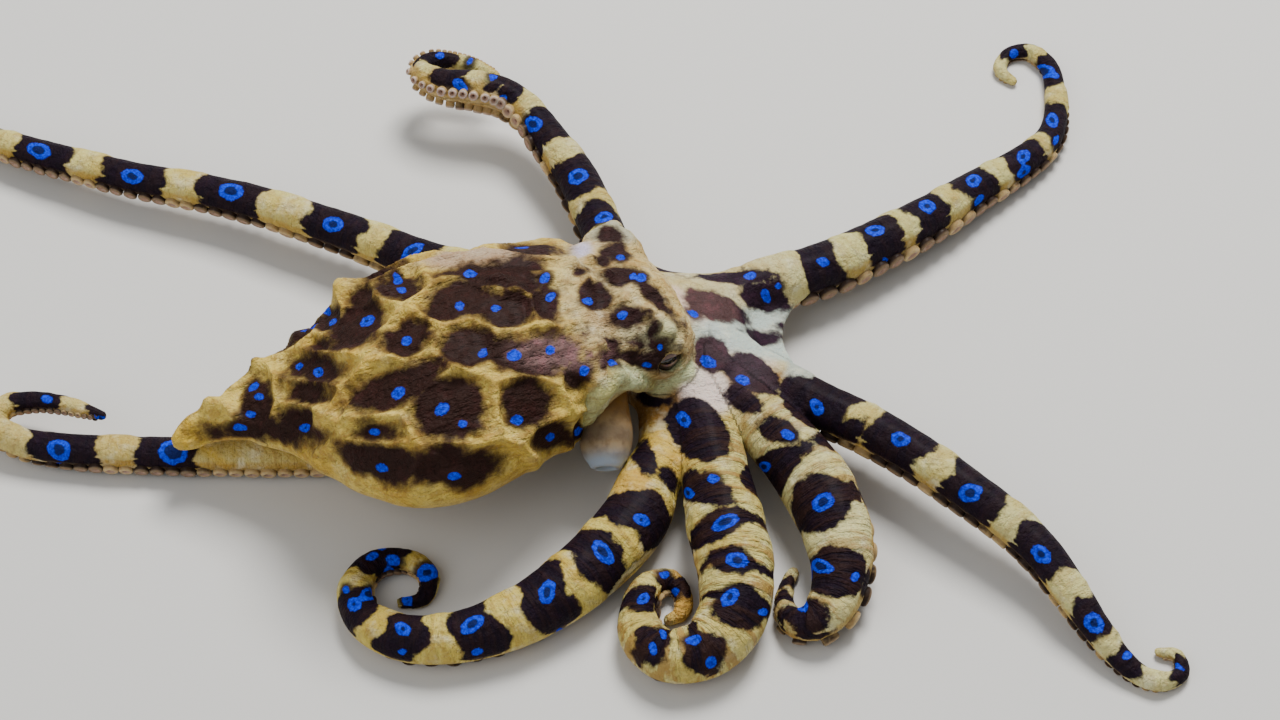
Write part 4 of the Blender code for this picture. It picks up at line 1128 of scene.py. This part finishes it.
class Skin:
    """The skin's points and faces, where on the animal each point is, and its looks there."""

    def __init__(self, field, collar):
        points, self.faces = surface_of(field)
        self.points = field.settle(points)
        self.normals = vertex_normals(self.points, self.faces)
        nearest = NearestArm()
        self.index, self.along, self.angle, gap = nearest.find(self.points)
        self.weight = weights_of(self.points, gap)
        self.on_arm = self.weight[SKIN_KEYS.index("arm")]
        self.rings = ring_marks(field, nearest)
        mantle = seen_marks(field, MANTLE_PATCHES)
        self.patches = {
            "mantle": mantle + mirrored_marks(field, mantle),
            "head": seen_marks(field, HEAD_PATCHES),
            "arm": seen_marks(field, ARM_PATCHES),
            "web": seen_marks(field, WEB_PATCHES),
        }
        self.find_dark()
        self.find_colours(field, collar)
        spots = seen_marks(field, SPOTS)
        rings = [ring[0] for ring in self.rings] + hidden_rings(field, self.rings)
        self.ring = self.ring_distance(rings + spots + mirrored_marks(field, spots))
        peaks = [(field.seen(px, py), *rest) for px, py, *rest in PAPILLAE]
        self.raise_points(self.relief() + self.bumps(peaks))

    def find_dark(self):
        """Distance in mm inside the dark markings, before the pale lines and the underside."""
        inner = np.full((len(SKIN_KEYS), len(self.points)), -LEAST_DARK)
        for row, key in enumerate(SKIN_KEYS):
            for patch in self.patches[key]:
                inner[row] = np.maximum(inner[row], patch.inner(self.points) + PATCH_GROWTH[key])
        arm_row = SKIN_KEYS.index("arm")
        inner[arm_row] = np.maximum(inner[arm_row], inner[SKIN_KEYS.index("web")])
        for arm in arms.values():
            mine = self.index == arm.index
            along = self.along[mine]
            band = band_field(arm, self.rings, along, self.angle[mine])
            band -= np.clip((BANDS_START - along) / 1.5, 0.0, 3.0)
            inner[arm_row][mine] = np.maximum(inner[arm_row][mine], band)
        self.dark = (self.weight * inner).sum(axis=0)

    def find_colours(self, field, collar):
        """Colours of the light and the dark skin, and how warm the light skin's mottling is."""
        self.light, self.deep = (sum(share[:, None] * colours[key]
                                     for share, key in zip(self.weight, SKIN_KEYS))
                                 for colours in (LIGHT, DEEP))
        self.warmth = np.ones(len(self.points))
        self.tint_arms()
        self.tint_places(field)
        self.pale_collar(collar)
        self.golden_flanks()
        self.pale_underside()

    def tint_arms(self):
        """Near the crown the arms take the greyer colours of the web, further out their own."""
        for arm in arms.values():
            mine = self.on_arm * (self.index == arm.index)
            root = (mine * clip01(1.6 - self.along / 9.0) * WEB_TINT[arm.name])[:, None]
            self.light = blended(self.light, LIGHT["web"], root)
            self.deep = blended(self.deep, DEEP["web"], root)
            shade = np.array(ARM_SHADE.get(arm.name, (1.0, 1.0, 1.0)))
            share = (mine * clip01(self.along / 8.0 - 0.8))[:, None]
            self.light = self.light * (1 + (shade - 1) * share)

    def tint_places(self, field):
        """Tints given by places in the photo's frame. Those of light skin take away mottling."""
        for oval, tint, strength, layer in TINTS:
            inner = seen_mark(field, *oval).inner(self.points)
            share = smooth(clip01(inner / TINT_EDGE + 0.3))[:, None] * strength
            if layer == "light":
                self.light = blended(self.light, srgb(*tint), share)
                self.warmth *= 1.0 - share[:, 0] * (0.95 if tint[2] > PALE_BLUE else 0.5)
            else:
                self.deep = blended(self.deep, srgb(*tint), share)

    def pale_collar(self, collar):
        share = smooth(clip01(COLLAR_REACH - line_gap(self.points, collar)))
        self.light = blended(self.light, COLLAR_TINT, share[:, None])
        self.dark = self.dark - 2.0 * share

    def golden_flanks(self):
        """The flank that bears the suckers is golden, past a pale line along the arm."""
        angle = np.abs(self.angle)
        flank = ramp(angle, FLANK_ANGLE, 0.10) * self.on_arm * ramp(self.along, 14.0, 4.0)
        self.light = blended(self.light, self.light * GOLDEN, flank[:, None])
        line = clip01(1.0 - np.abs(angle - FLANK_ANGLE + 0.05) / 0.09) * self.on_arm
        self.dark = self.dark - line * np.clip(self.along / 12.0 - 1.0, 0.0, 0.8) * 0.9

    def pale_underside(self):
        """The skin under the animal and between the rows of suckers is pale."""
        below = clip01(-self.normals[:, 2] * 1.6 - 0.2)
        inward = ramp(np.abs(self.angle), 2.1, 0.5) * self.on_arm * ramp(self.along, 10.0, 4.0)
        pale = np.maximum(below, inward)
        self.light = blended(self.light, UNDERSIDE, 0.6 * pale[:, None])
        self.deep = blended(self.deep, UNDERSIDE * 0.6, 0.6 * pale[:, None])
        self.dark = self.dark - 3.0 * pale

    def ring_distance(self, marks):
        """Distance in mm outside the nearest ring's outer edge, negative within it."""
        best = np.full(len(self.points), RING_REACH)
        for mark in marks:
            reach = max(mark.halves) + RING_REACH
            near = np.flatnonzero((np.abs(self.points - mark.centre) < reach).all(axis=1))
            u, v, height = mark.places(self.points[near])
            gap = (np.hypot(u, v) - 1.0) * sum(mark.halves) / 2
            gap += np.clip(np.abs(height) - 0.8, 0.0, 2.0)
            gap[self.normals[near] @ mark.out < 0.1] = RING_REACH
            best[near] = np.minimum(best[near], gap)
        return best

    def crests(self):
        """Height, from 0 to 1, of the fold that runs half way between neighbouring patches."""
        inner = np.sort([patch.inner(self.points) for patch in self.patches["mantle"]], axis=0)
        return smooth(clip01(1.0 - (inner[-1] - inner[-2]) / 1.5)) * clip01(0.7 - inner[-1])

    def bumps(self, peaks):
        """Height in mm of the papillae at each point."""
        height = np.zeros(len(self.points))
        for centre, radius, rise in peaks:
            near = np.flatnonzero((np.abs(self.points - centre) < radius * 2.6).all(axis=1))
            gap = np.linalg.norm(self.points[near] - centre, axis=1) / radius
            height[near] = np.maximum(height[near], PAPILLA_RISE * rise * np.exp(-gap * gap))
        return height

    def relief(self):
        """Folds between the mantle's patches and smaller ones elsewhere, in mm."""
        light_skin = smooth(clip01(-self.dark / 1.1))
        ridges = 0.45 * light_skin + 0.9 * self.crests()
        broad = fine_noise(self.points, BROAD_FOLDS, 1)
        small = fine_noise(self.points, SMALL_FOLDS, 2)
        folds = clip01(1.0 - np.abs(self.angle) / 2.2)
        swollen = clip01(-self.dark / 0.9)
        height = self.on_arm * (folds * (0.07 * broad + 0.06 * small) + SWELLING * swollen)
        for share, key in zip(self.weight, SKIN_KEYS):
            for rise, form in zip(RELIEF.get(key, ()), (ridges, broad, small)):
                height += share * rise * form
        return height * clip01(self.normals[:, 2] + 0.9)

    def raise_points(self, height):
        self.points = self.points + self.normals * height[:, None]
        self.points[:, 2] = np.maximum(self.points[:, 2], 0.0)
        self.normals = vertex_normals(self.points, self.faces)

    def fold_places(self):
        """Places that are stretched so that noise makes creases round the arms and body."""
        x, y, z = self.points.T
        arm = np.stack((self.along, self.angle * 0.45, self.index * 9.0), axis=1)
        trunk = np.stack(((x * 0.93 + y * 0.37) * 0.28, (y * 0.93 - x * 0.37) * 0.9, z * 0.9), axis=1)
        return np.where((self.on_arm > 0.5)[:, None], arm, trunk) * MM

    def attributes(self):
        """Values at each point that the skin's material reads."""
        mantle, head, arm, web = self.weight
        wrinkled = arm * np.array([WRINKLED.get(name, 0.3) for name in ARMS])[self.index]
        wrinkled *= np.clip((self.along - 4.0) / 9.0, 0.2, 1.0)
        return {
            "light": self.light, "deep": self.deep, "dark": self.dark, "ring": self.ring,
            "fold": self.fold_places(), "wrinkled": wrinkled + 0.6 * mantle + 0.6 * head,
            "golden": mantle * 0.8, "warmth": self.warmth,
            "soft": mantle + 0.6 * head + 0.6 * web,
        }

    def pieces(self):
        """Names of the skin's three pieces, with the faces of each and the nodes it covers."""
        first = self.faces[:, 0]
        mostly_arm = self.weight.argmax(axis=0)[first] == SKIN_KEYS.index("arm")
        on_arm = mostly_arm & (self.along[first] > ARM_PIECES_START)
        left = on_arm & (self.index[first] < LEFT_ARMS)
        names = list(ARMS)
        return (("skin_body", ~on_arm, ["mantle", "head", "crown"]),
                ("skin_left_arms", left, arm_nodes(names[:LEFT_ARMS])),
                ("skin_right_arms", on_arm & ~left, arm_nodes(names[LEFT_ARMS:])))


class Nodes:
    """Short ways to add shader nodes to a material."""

    def __init__(self, material):
        self.tree = material.node_tree
        self.shader = self.tree.nodes["Principled BSDF"]
        self.place = self.tree.nodes.new("ShaderNodeTexCoord").outputs["Object"]

    def put(self, socket, value):
        if isinstance(value, bpy.types.NodeSocket):
            self.tree.links.new(value, socket)
        elif isinstance(value, (tuple, list, np.ndarray)) and len(socket.default_value) == 4:
            socket.default_value = (*value[:3], 1.0)
        else:
            socket.default_value = value

    def maths(self, kind, *values, clamp=False):
        node = self.tree.nodes.new("ShaderNodeMath")
        node.operation = kind
        node.use_clamp = clamp
        for socket, value in zip(node.inputs, values):
            self.put(socket, value)
        return node.outputs[0]

    def times(self, first, second):
        return self.maths("MULTIPLY", first, second)

    def times_plus(self, first, second, third):
        return self.maths("MULTIPLY_ADD", first, second, third)

    def minus(self, first, second):
        return self.maths("SUBTRACT", first, second)

    def step(self, value, low, high, to_low=0.0, to_high=1.0):
        """Smooth change from to_low to to_high as value goes from low to high."""
        node = self.tree.nodes.new("ShaderNodeMapRange")
        node.interpolation_type = "SMOOTHSTEP"
        for socket, item in zip(node.inputs, (value, low, high, to_low, to_high)):
            self.put(socket, item)
        return node.outputs[0]

    def mix(self, share, first, second, kind="MIX"):
        node = self.tree.nodes.new("ShaderNodeMix")
        node.data_type = "RGBA"
        node.blend_type = kind
        for socket, value in zip((node.inputs[0], *node.inputs[6:8]), (share, first, second)):
            self.put(socket, value)
        return node.outputs[2]

    def noise(self, size, detail=3.0, roughness=0.55, vector=None):
        """Noise about as coarse as a size in mm."""
        node = self.tree.nodes.new("ShaderNodeTexNoise")
        self.put(node.inputs["Vector"], vector or self.place)
        node.inputs["Scale"].default_value = 1.0 / (size * MM)
        node.inputs["Detail"].default_value = detail
        node.inputs["Roughness"].default_value = roughness
        return node.outputs["Fac"]

    def moved(self, metres):
        """Object places shifted along all three axes, so that two noises differ."""
        node = self.tree.nodes.new("ShaderNodeVectorMath")
        node.operation = "ADD"
        self.put(node.inputs[0], self.place)
        node.inputs[1].default_value = (metres, metres * 1.7, metres * 2.3)
        return node.outputs[0]

    def attribute(self, name, output="Fac"):
        node = self.tree.nodes.new("ShaderNodeAttribute")
        node.attribute_name = name
        return node.outputs[output]

    def parts(self, vector):
        node = self.tree.nodes.new("ShaderNodeSeparateXYZ")
        self.put(node.inputs[0], vector)
        return node.outputs

    def bump(self, height, distance, before=None):
        """Bumps with a height given in mm."""
        node = self.tree.nodes.new("ShaderNodeBump")
        node.inputs["Distance"].default_value = distance * MM
        self.put(node.inputs["Height"], height)
        if before is not None:
            self.put(node.inputs["Normal"], before)
        return node.outputs[0]

    def shade(self, **values):
        """Sets the shader's sockets, named with underscores for spaces."""
        for name, value in values.items():
            self.put(self.shader.inputs[name.replace("_", " ")], value)

    def flesh(self, colour, roughness, normal, depth=0.12):
        """Moist flesh: light goes a little way in, with a thin wet coat over it."""
        self.shade(Base_Color=colour, Roughness=roughness, Normal=normal, Subsurface_Weight=depth,
                   Subsurface_Radius=(1.0, 0.55, 0.35), Subsurface_Scale=0.45 * MM,
                   Coat_Weight=0.02, Coat_Roughness=0.3, IOR=1.33, Specular_IOR_Level=0.12)


def make_material(name, colour, roughness):
    material = bpy.data.materials.new(name)
    material.use_nodes = True
    shader = material.node_tree.nodes["Principled BSDF"]
    shader.inputs["Base Color"].default_value = (*colour, 1.0)
    shader.inputs["Roughness"].default_value = roughness
    return material


def light_skin(nodes, coarse, grain, lines, wrinkled, pushed, soft):
    """The yellow and cream skin between the dark markings."""
    light, warmth = nodes.attribute("light", "Color"), nodes.attribute("warmth")
    warm = nodes.mix(1.0, light, MOTTLE, "MULTIPLY")
    colour = nodes.mix(nodes.times(nodes.step(coarse, 0.38, 0.68, 0.0, 0.8), warmth), light, warm)
    colour = nodes.mix(nodes.step(grain, 0.50, 0.80, 0.0, 0.2), colour, GRAIN)
    # Cream patches from noise, away from the mantle: partly the skin's own cream and partly painted
    # highlight.
    cream = nodes.step(nodes.noise(2.2, 3.0, 0.6, nodes.moved(0.011)), 0.50, 0.72, 0.0, 0.4)
    cream = nodes.times(cream, nodes.minus(1.0, nodes.attribute("golden")))
    colour = nodes.mix(cream, colour, CREAM_AND_HIGHLIGHT)
    # Thin brown lines from noise: painted shade of fine creases, weaker on the pale tints.
    crease_line = nodes.maths("ABSOLUTE", nodes.minus(nodes.noise(1.9, 4.0, 0.6), 0.5))
    crease_shade = nodes.times(nodes.step(crease_line, 0.0, 0.035, 0.3, 0.0), warmth)
    colour = nodes.mix(crease_shade, colour, CREASE_SHADE)
    halo = nodes.times(nodes.step(pushed, -0.75, 0.1), soft)
    colour = nodes.mix(nodes.times(halo, 0.55), colour, HALO)
    amber = nodes.times(nodes.step(lines, 0.50, 0.60), wrinkled)
    return nodes.mix(nodes.times(amber, nodes.times(warmth, 0.75)), colour, AMBER)


def dark_skin(nodes, ragged, lines, wrinkled):
    """The brown and black skin of the patches and bands."""
    deep = nodes.attribute("deep", "Color")
    purple = nodes.mix(1.0, deep, PURPLE, "MULTIPLY")
    colour = nodes.mix(nodes.step(ragged, 0.42, 0.80, 0.0, 0.55), deep, purple)
    return nodes.mix(nodes.times(nodes.step(lines, 0.42, 0.62), wrinkled), colour, STREAK)


def skin_material():
    material = make_material("octopus_skin", LIGHT["arm"], 0.42)
    nodes = Nodes(material)
    ragged = nodes.noise(1.3, 4.0, 0.62)
    coarse = nodes.noise(4.5, 2.0)
    grain = nodes.noise(0.35, 3.0, 0.6)
    lines = nodes.noise(0.8, 3.0, 0.6, nodes.attribute("fold", "Vector"))
    soft, wrinkled = nodes.attribute("soft"), nodes.attribute("wrinkled")
    # Noise pushes the edge of the dark markings in and out, more and more softly on the body.
    pushed = nodes.attribute("dark")
    for push, on_body in ((ragged, 0.2), (coarse, 1.0)):
        reach = nodes.times_plus(soft, on_body, 1.5)
        pushed = nodes.times_plus(nodes.minus(push, 0.5), reach, pushed)
    edge = nodes.times_plus(soft, 0.36, 0.21)
    mask = nodes.step(nodes.maths("DIVIDE", pushed, edge), -1.0, 1.0)
    shade = dark_skin(nodes, ragged, lines, wrinkled)
    colour = nodes.mix(mask, light_skin(nodes, coarse, grain, lines, wrinkled, pushed, soft), shade)
    # A ring is a bright band round a small dark middle, and the smallest are filled.
    wobble = nodes.minus(nodes.noise(0.7, 2.0), 0.5)
    gap = nodes.times_plus(wobble, 0.55, nodes.attribute("ring"))
    colour = nodes.mix(nodes.step(gap, 0.15, 1.0, 0.9, 0.0), colour, shade)
    line = nodes.step(gap, -0.05, 0.11, 1.0, 0.0)
    speck = nodes.step(nodes.noise(0.3, 2.0), 0.3, 0.7)
    colour = nodes.mix(line, colour, nodes.mix(speck, *RING_BLUES))
    middle = nodes.step(gap, -0.62, -0.42, 0.95, 0.0)
    colour = nodes.mix(middle, colour, RING_MIDDLE)
    normal = nodes.bump(nodes.noise(0.9, 4.0, 0.6), 0.50)
    normal = nodes.bump(grain, 0.12, normal)
    normal = nodes.bump(nodes.times(nodes.step(lines, 0.36, 0.62), wrinkled), 0.30, normal)
    nodes.flesh(colour, nodes.step(grain, 0.3, 0.8, 0.52, 0.72), normal)
    glow = nodes.times(nodes.maths("SUBTRACT", line, middle, clamp=True), 0.05)
    nodes.shade(Emission_Color=RING_GLOW, Emission_Strength=glow)
    return material


def mesh_object(name, points, faces):
    """A smooth mesh object in metres, from points in millimetres."""
    mesh = bpy.data.meshes.new(name)
    mesh.from_pydata(((np.asarray(points) - FOOTPRINT_CENTRE) * MM).tolist(), [],
                     np.asarray(faces).tolist())
    mesh.update()
    mesh.shade_smooth()
    item = bpy.data.objects.new(name, mesh)
    bpy.context.scene.collection.objects.link(item)
    return item


def store(item, name, values):
    """Keeps a value, or three as a vector or a colour, at each point of an object."""
    values = np.asarray(values, np.float32)
    kind, key = "FLOAT", "value"
    if name in ("light", "deep"):
        kind, key = "FLOAT_COLOR", "color"
        values = np.concatenate((values, np.ones((len(values), 1), np.float32)), axis=1)
    elif values.ndim == 2:
        kind, key = "FLOAT_VECTOR", "vector"
    item.data.attributes.new(name, kind, "POINT").data.foreach_set(key, values.ravel())


def round_turns(sides):
    return np.arange(sides) * math.tau / sides


def tube_faces(rows, sides):
    """Four-cornered faces between rows of points round a tube."""
    faces = []
    for row in range(rows - 1):
        a, b = row * sides, (row + 1) * sides
        for i in range(sides):
            j = (i + 1) % sides
            faces.append((a + i, b + i, b + j, a + j))
    return np.array(faces)


def arm_nodes(names):
    return [f"{name}_{letter}" for name in names for letter in ARM_LETTERS.get(name, "abcde")]


def make_skin(field, collar):
    """The three pieces of the skin, and the rings of the arms."""
    skin = Skin(field, collar)
    values = skin.attributes()
    material = skin_material()
    for name, chosen, nodes in skin.pieces():
        used, faces = np.unique(skin.faces[chosen], return_inverse=True)
        item = mesh_object(name, skin.points[used], faces.reshape(-1, 4))
        for key, value in values.items():
            store(item, key, value[used])
        # Each piece has the whole skin's normals, so that no seam shows.
        item.data.normals_split_custom_set_from_vertices(skin.normals[used].tolist())
        item.data.materials.append(material)
        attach(item, "root")
        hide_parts(*nodes)
    return skin.rings


def free_share(arm, distances):
    """How freely the suckers stand out at places along an arm, from 0 to 1 near a raised tip."""
    share = smooth(clip01((distances / arm.total - FREE_START) * 8.0))
    return share * (arm.name in FREE_STALK)


def sucker_size(arm, distances):
    radius = sucker_radius(arm.at(distances)[1])
    return radius * (1.0 - FREE_SHRINK * free_share(arm, distances))


def sucker_parts(arm, distances, rows, chance):
    """Points, faces, cup values and places along the arm of its suckers."""
    heights, widths, cups = np.array(SUCKER_OUTLINE).T
    turns = round_turns(SUCKER_SIDES)
    pattern = tube_faces(len(heights), SUCKER_SIDES)
    middle, radius, ahead, side, oral = arm.at(distances)
    angle = (rows * SUCKER_ANGLE)[:, None]
    out = oral * np.cos(angle) + side * np.sin(angle)
    beside = np.cross(out, ahead)
    size = sucker_size(arm, distances) * (1.0 + chance.uniform(-0.06, 0.06, len(distances)))
    surface = radius * ORAL_DEPTH
    stalk = 1.0 + free_share(arm, distances) * (FREE_STALK.get(arm.name, 1.0) - 1.0)
    points = []
    for k in range(len(distances)):
        ripple = 0.05 * np.sin(turns * 3 + chance.uniform(0, 6))
        reach = (widths * size[k])[:, None] * (1.0 + ripple * clip01(widths - 0.5)[:, None])
        level = surface[k] + heights * size[k] * np.where(heights > 0.0, stalk[k], 1.0)
        ring = (middle[k] + out[k] * level[:, None, None]
                + ahead[k] * (reach * np.cos(turns))[..., None]
                + beside[k] * (reach * np.sin(turns))[..., None])
        points.append(ring.reshape(-1, 3))
    count = len(heights) * SUCKER_SIDES
    faces = np.vstack([pattern + k * count for k in range(len(distances))])
    cup = np.tile(np.repeat(cups, SUCKER_SIDES), len(distances))
    return np.vstack(points), faces, cup, np.repeat(distances, count)


def sucker_material():
    """Outside, a sucker has the colour of the band that it is on; its rim and cup are pale."""
    material = make_material("sucker_flesh", srgb(196, 168, 140), 0.4)
    nodes = Nodes(material)
    cup = nodes.attribute("cup")
    grain = nodes.noise(0.4, 3.0)
    dark = nodes.times_plus(nodes.noise(1.3, 3.0), 1.6, nodes.attribute("dark"))
    mask = nodes.step(dark, 0.4, 1.1, 0.0, 0.95)
    golden, rim, bead, inner = (nodes.mix(grain, *SUCKER_TINTS[key])
                                for key in ("stalk", "rim", "free rim", "cup"))
    stalk = nodes.mix(mask, golden, SUCKER_DARKS["stalk"])
    rim = nodes.mix(nodes.times(mask, 0.7), rim, SUCKER_DARKS["rim"])
    rim = nodes.mix(nodes.attribute("free"), rim, bead)
    colour = nodes.mix(nodes.step(cup, 0.30, 0.50), stalk, rim)
    colour = nodes.mix(nodes.step(cup, 0.55, 0.75), colour, inner)
    # Painted shade: the bottom of the cup darkens.
    colour = nodes.mix(nodes.step(cup, 0.82, 0.98), colour, SUCKER_DARKS["cup"])
    nodes.flesh(colour, nodes.step(grain, 0.3, 0.8, 0.32, 0.5), nodes.bump(grain, 0.06), 0.3)
    return material


def sucker_places(arm):
    """How far along an arm each of its suckers is, closer together where they are smaller."""
    distances = []
    along = FIRST_SUCKER
    while along < arm.total - BARE_TIP:
        distances.append(along)
        along += sucker_size(arm, along) * SUCKER_PITCH
    return np.array(distances)


def make_suckers(arm_marks):
    material = sucker_material()
    chance = np.random.default_rng(5)
    for arm in arms.values():
        distances = sucker_places(arm)
        rows = np.where(np.arange(len(distances)) % 2, 1.0, -1.0)
        points, faces, cup, place = sucker_parts(arm, distances, rows, chance)
        points[:, 2] = np.maximum(points[:, 2], 0.0)
        item = mesh_object(f"suckers_{arm.name[4:]}", points, faces)
        free = free_share(arm, place)
        dark = band_field(arm, arm_marks, place, 0 * place) - 3.0 * free
        for key, values in (("cup", cup), ("dark", np.maximum(dark, -LEAST_DARK)), ("free", free)):
            store(item, key, values)
        item.data.materials.append(material)
        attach(item, "root")


def eye_material(name):
    """An iris that darkens towards its edge, and a slit that narrows towards its ends."""
    material = make_material(name, srgb(120, 92, 60), 0.1)
    nodes = Nodes(material)
    u, v, _ = nodes.parts(nodes.attribute("look", "Vector"))
    iris = nodes.mix(nodes.noise(0.25, 3.0), EYE_TINTS["iris"], EYE_TINTS["fleck"])
    off_middle = nodes.times_plus(v, nodes.times(v, 2.0), nodes.times(u, u))
    iris = nodes.mix(nodes.step(off_middle, 0.45, 1.5), iris, EYE_TINTS["edge"])
    aside = nodes.maths("ABSOLUTE", u)
    slit = nodes.maths("ABSOLUTE", nodes.maths("ADD", v, 0.05))
    slit = nodes.minus(slit, nodes.step(aside, 0.2, 1.25, 0.34, 0.10))
    pupil = nodes.times(nodes.step(slit, -0.06, 0.06, 1.0, 0.0),
                        nodes.step(aside, 1.05, 1.25, 1.0, 0.0))
    nodes.shade(Base_Color=nodes.mix(pupil, iris, EYE_TINTS["slit"]), Coat_Weight=0.6,
                Coat_Roughness=0.06)
    return material


def make_eyes():
    turns = round_turns(EYE_SIDES)
    bands = np.linspace(0.002, math.pi - 0.002, EYE_SIDES // 2)
    ball = np.array([(math.sin(b) * math.cos(t), math.sin(b) * math.sin(t), math.cos(b))
                     for b in bands for t in turns]) * EYE_RADIUS
    for name, centre in EYES.items():
        eye = mesh_object(name + "_ball", ball + centre, tube_faces(len(bands), EYE_SIDES))
        store(eye, "look", ball @ np.transpose(eye_frame(name)))
        eye.data.materials.append(eye_material(name))
        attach(eye, "root")
        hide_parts(name)


def funnel_material():
    """Brown at the root as painted shade under the mantle's edge, a darker band painted as the shadow
    of its inside seen through the wall, then bluish white, and painted shade dark inside the mouth.
    """
    material = make_material("funnel_flesh", srgb(214, 200, 172), 0.3)
    nodes = Nodes(material)
    grain = nodes.noise(1.2, 3.0)
    place = nodes.attribute("share")
    tints = FUNNEL_TINTS
    # Brown towards the root: painted shade under the mantle's edge.
    colour = nodes.mix(nodes.step(place, 0.28, 0.58), tints["root"], tints["middle"])
    colour = nodes.mix(nodes.step(grain, 0.42, 0.70, 0.0, 0.6), colour, tints["mottle"])
    # A darker band round the middle: painted shadow of the inside, seen through the wall.
    band = nodes.times(nodes.step(place, 0.44, 0.52), nodes.step(place, 0.56, 0.66, 1.0, 0.0))
    colour = nodes.mix(nodes.times(band, 0.55), colour, tints["band"])
    colour = nodes.mix(nodes.step(place, 0.62, 0.88), colour, tints["end"])
    # Dark inside the mouth: painted shade in the bore.
    colour = nodes.mix(nodes.step(place, 0.93, 0.97), colour, tints["mouth"])
    nodes.flesh(colour, 0.3, nodes.bump(grain, 0.12), 0.5)
    return material


def make_funnel():
    """The funnel: a soft tube, open at its rounded lip."""
    *middle, radius = smooth_curve(FUNNEL_ROUTE, FUNNEL_STEPS).T
    middle = np.stack(middle, axis=1)
    ahead = unit(np.gradient(middle, axis=0))
    side = unit(np.cross(UP, ahead))
    above = np.cross(ahead, side)
    turns = round_turns(FUNNEL_SIDES)
    lip = [(middle[-1] - ahead[-1] * back, side[-1], above[-1], size) for back, size in FUNNEL_LIP]
    rings = [place + size * (np.outer(np.cos(turns), s) + np.outer(np.sin(turns), a))
             for place, s, a, size in (*zip(middle, side, above, radius), *lip)]
    # The corners of each face run the other way round, because the tube starts at its root.
    faces = tube_faces(len(rings), FUNNEL_SIDES)[:, [0, 3, 2, 1]]
    item = mesh_object("funnel_skin", np.vstack(rings), faces)
    store(item, "share", np.repeat(np.linspace(0.0, 1.0, len(rings)), FUNNEL_SIDES))
    item.data.materials.append(funnel_material())
    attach(item, "root")
    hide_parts("funnel")


def make_floor():
    size = FLOOR_SIZE / 2
    corners = [(-size, -size, 0), (size, -size, 0), (size, size, 0), (-size, size, 0)]
    floor = mesh_object("floor", corners, [(0, 1, 2, 3)])
    floor.data.materials.append(make_material("floor", (0.62, 0.60, 0.56), 0.75))


def make_lights():
    world = bpy.data.worlds.new("studio")
    bpy.context.scene.world = world
    world.use_nodes = True
    background = world.node_tree.nodes["Background"]
    background.inputs["Color"].default_value = (0.80, 0.85, 0.92, 1.0)
    background.inputs["Strength"].default_value = 0.45
    for name, place, size, power in LAMPS:
        lamp = bpy.data.lights.new(name, "AREA")
        lamp.size = size
        lamp.energy = power
        item = bpy.data.objects.new(name, lamp)
        item.location = place
        item.rotation_euler = (-Vector(place)).to_track_quat("-Z", "Y").to_euler()
        bpy.context.scene.collection.objects.link(item)


def make_camera():
    lens = bpy.data.cameras.new("camera")
    lens.lens = LENS
    lens.sensor_width = SENSOR
    lens.clip_start = 0.01
    camera = bpy.data.objects.new("camera", lens)
    camera.location = (EYE_POINT - FOOTPRINT_CENTRE) * MM
    camera.rotation_euler = Vector(-EYE_POINT).to_track_quat("-Z", "Y").to_euler()
    bpy.context.scene.collection.objects.link(camera)
    bpy.context.scene.camera = camera


make_suckers(make_skin(*build_field()))
make_eyes()
make_funnel()
make_floor()
make_lights()
make_camera()
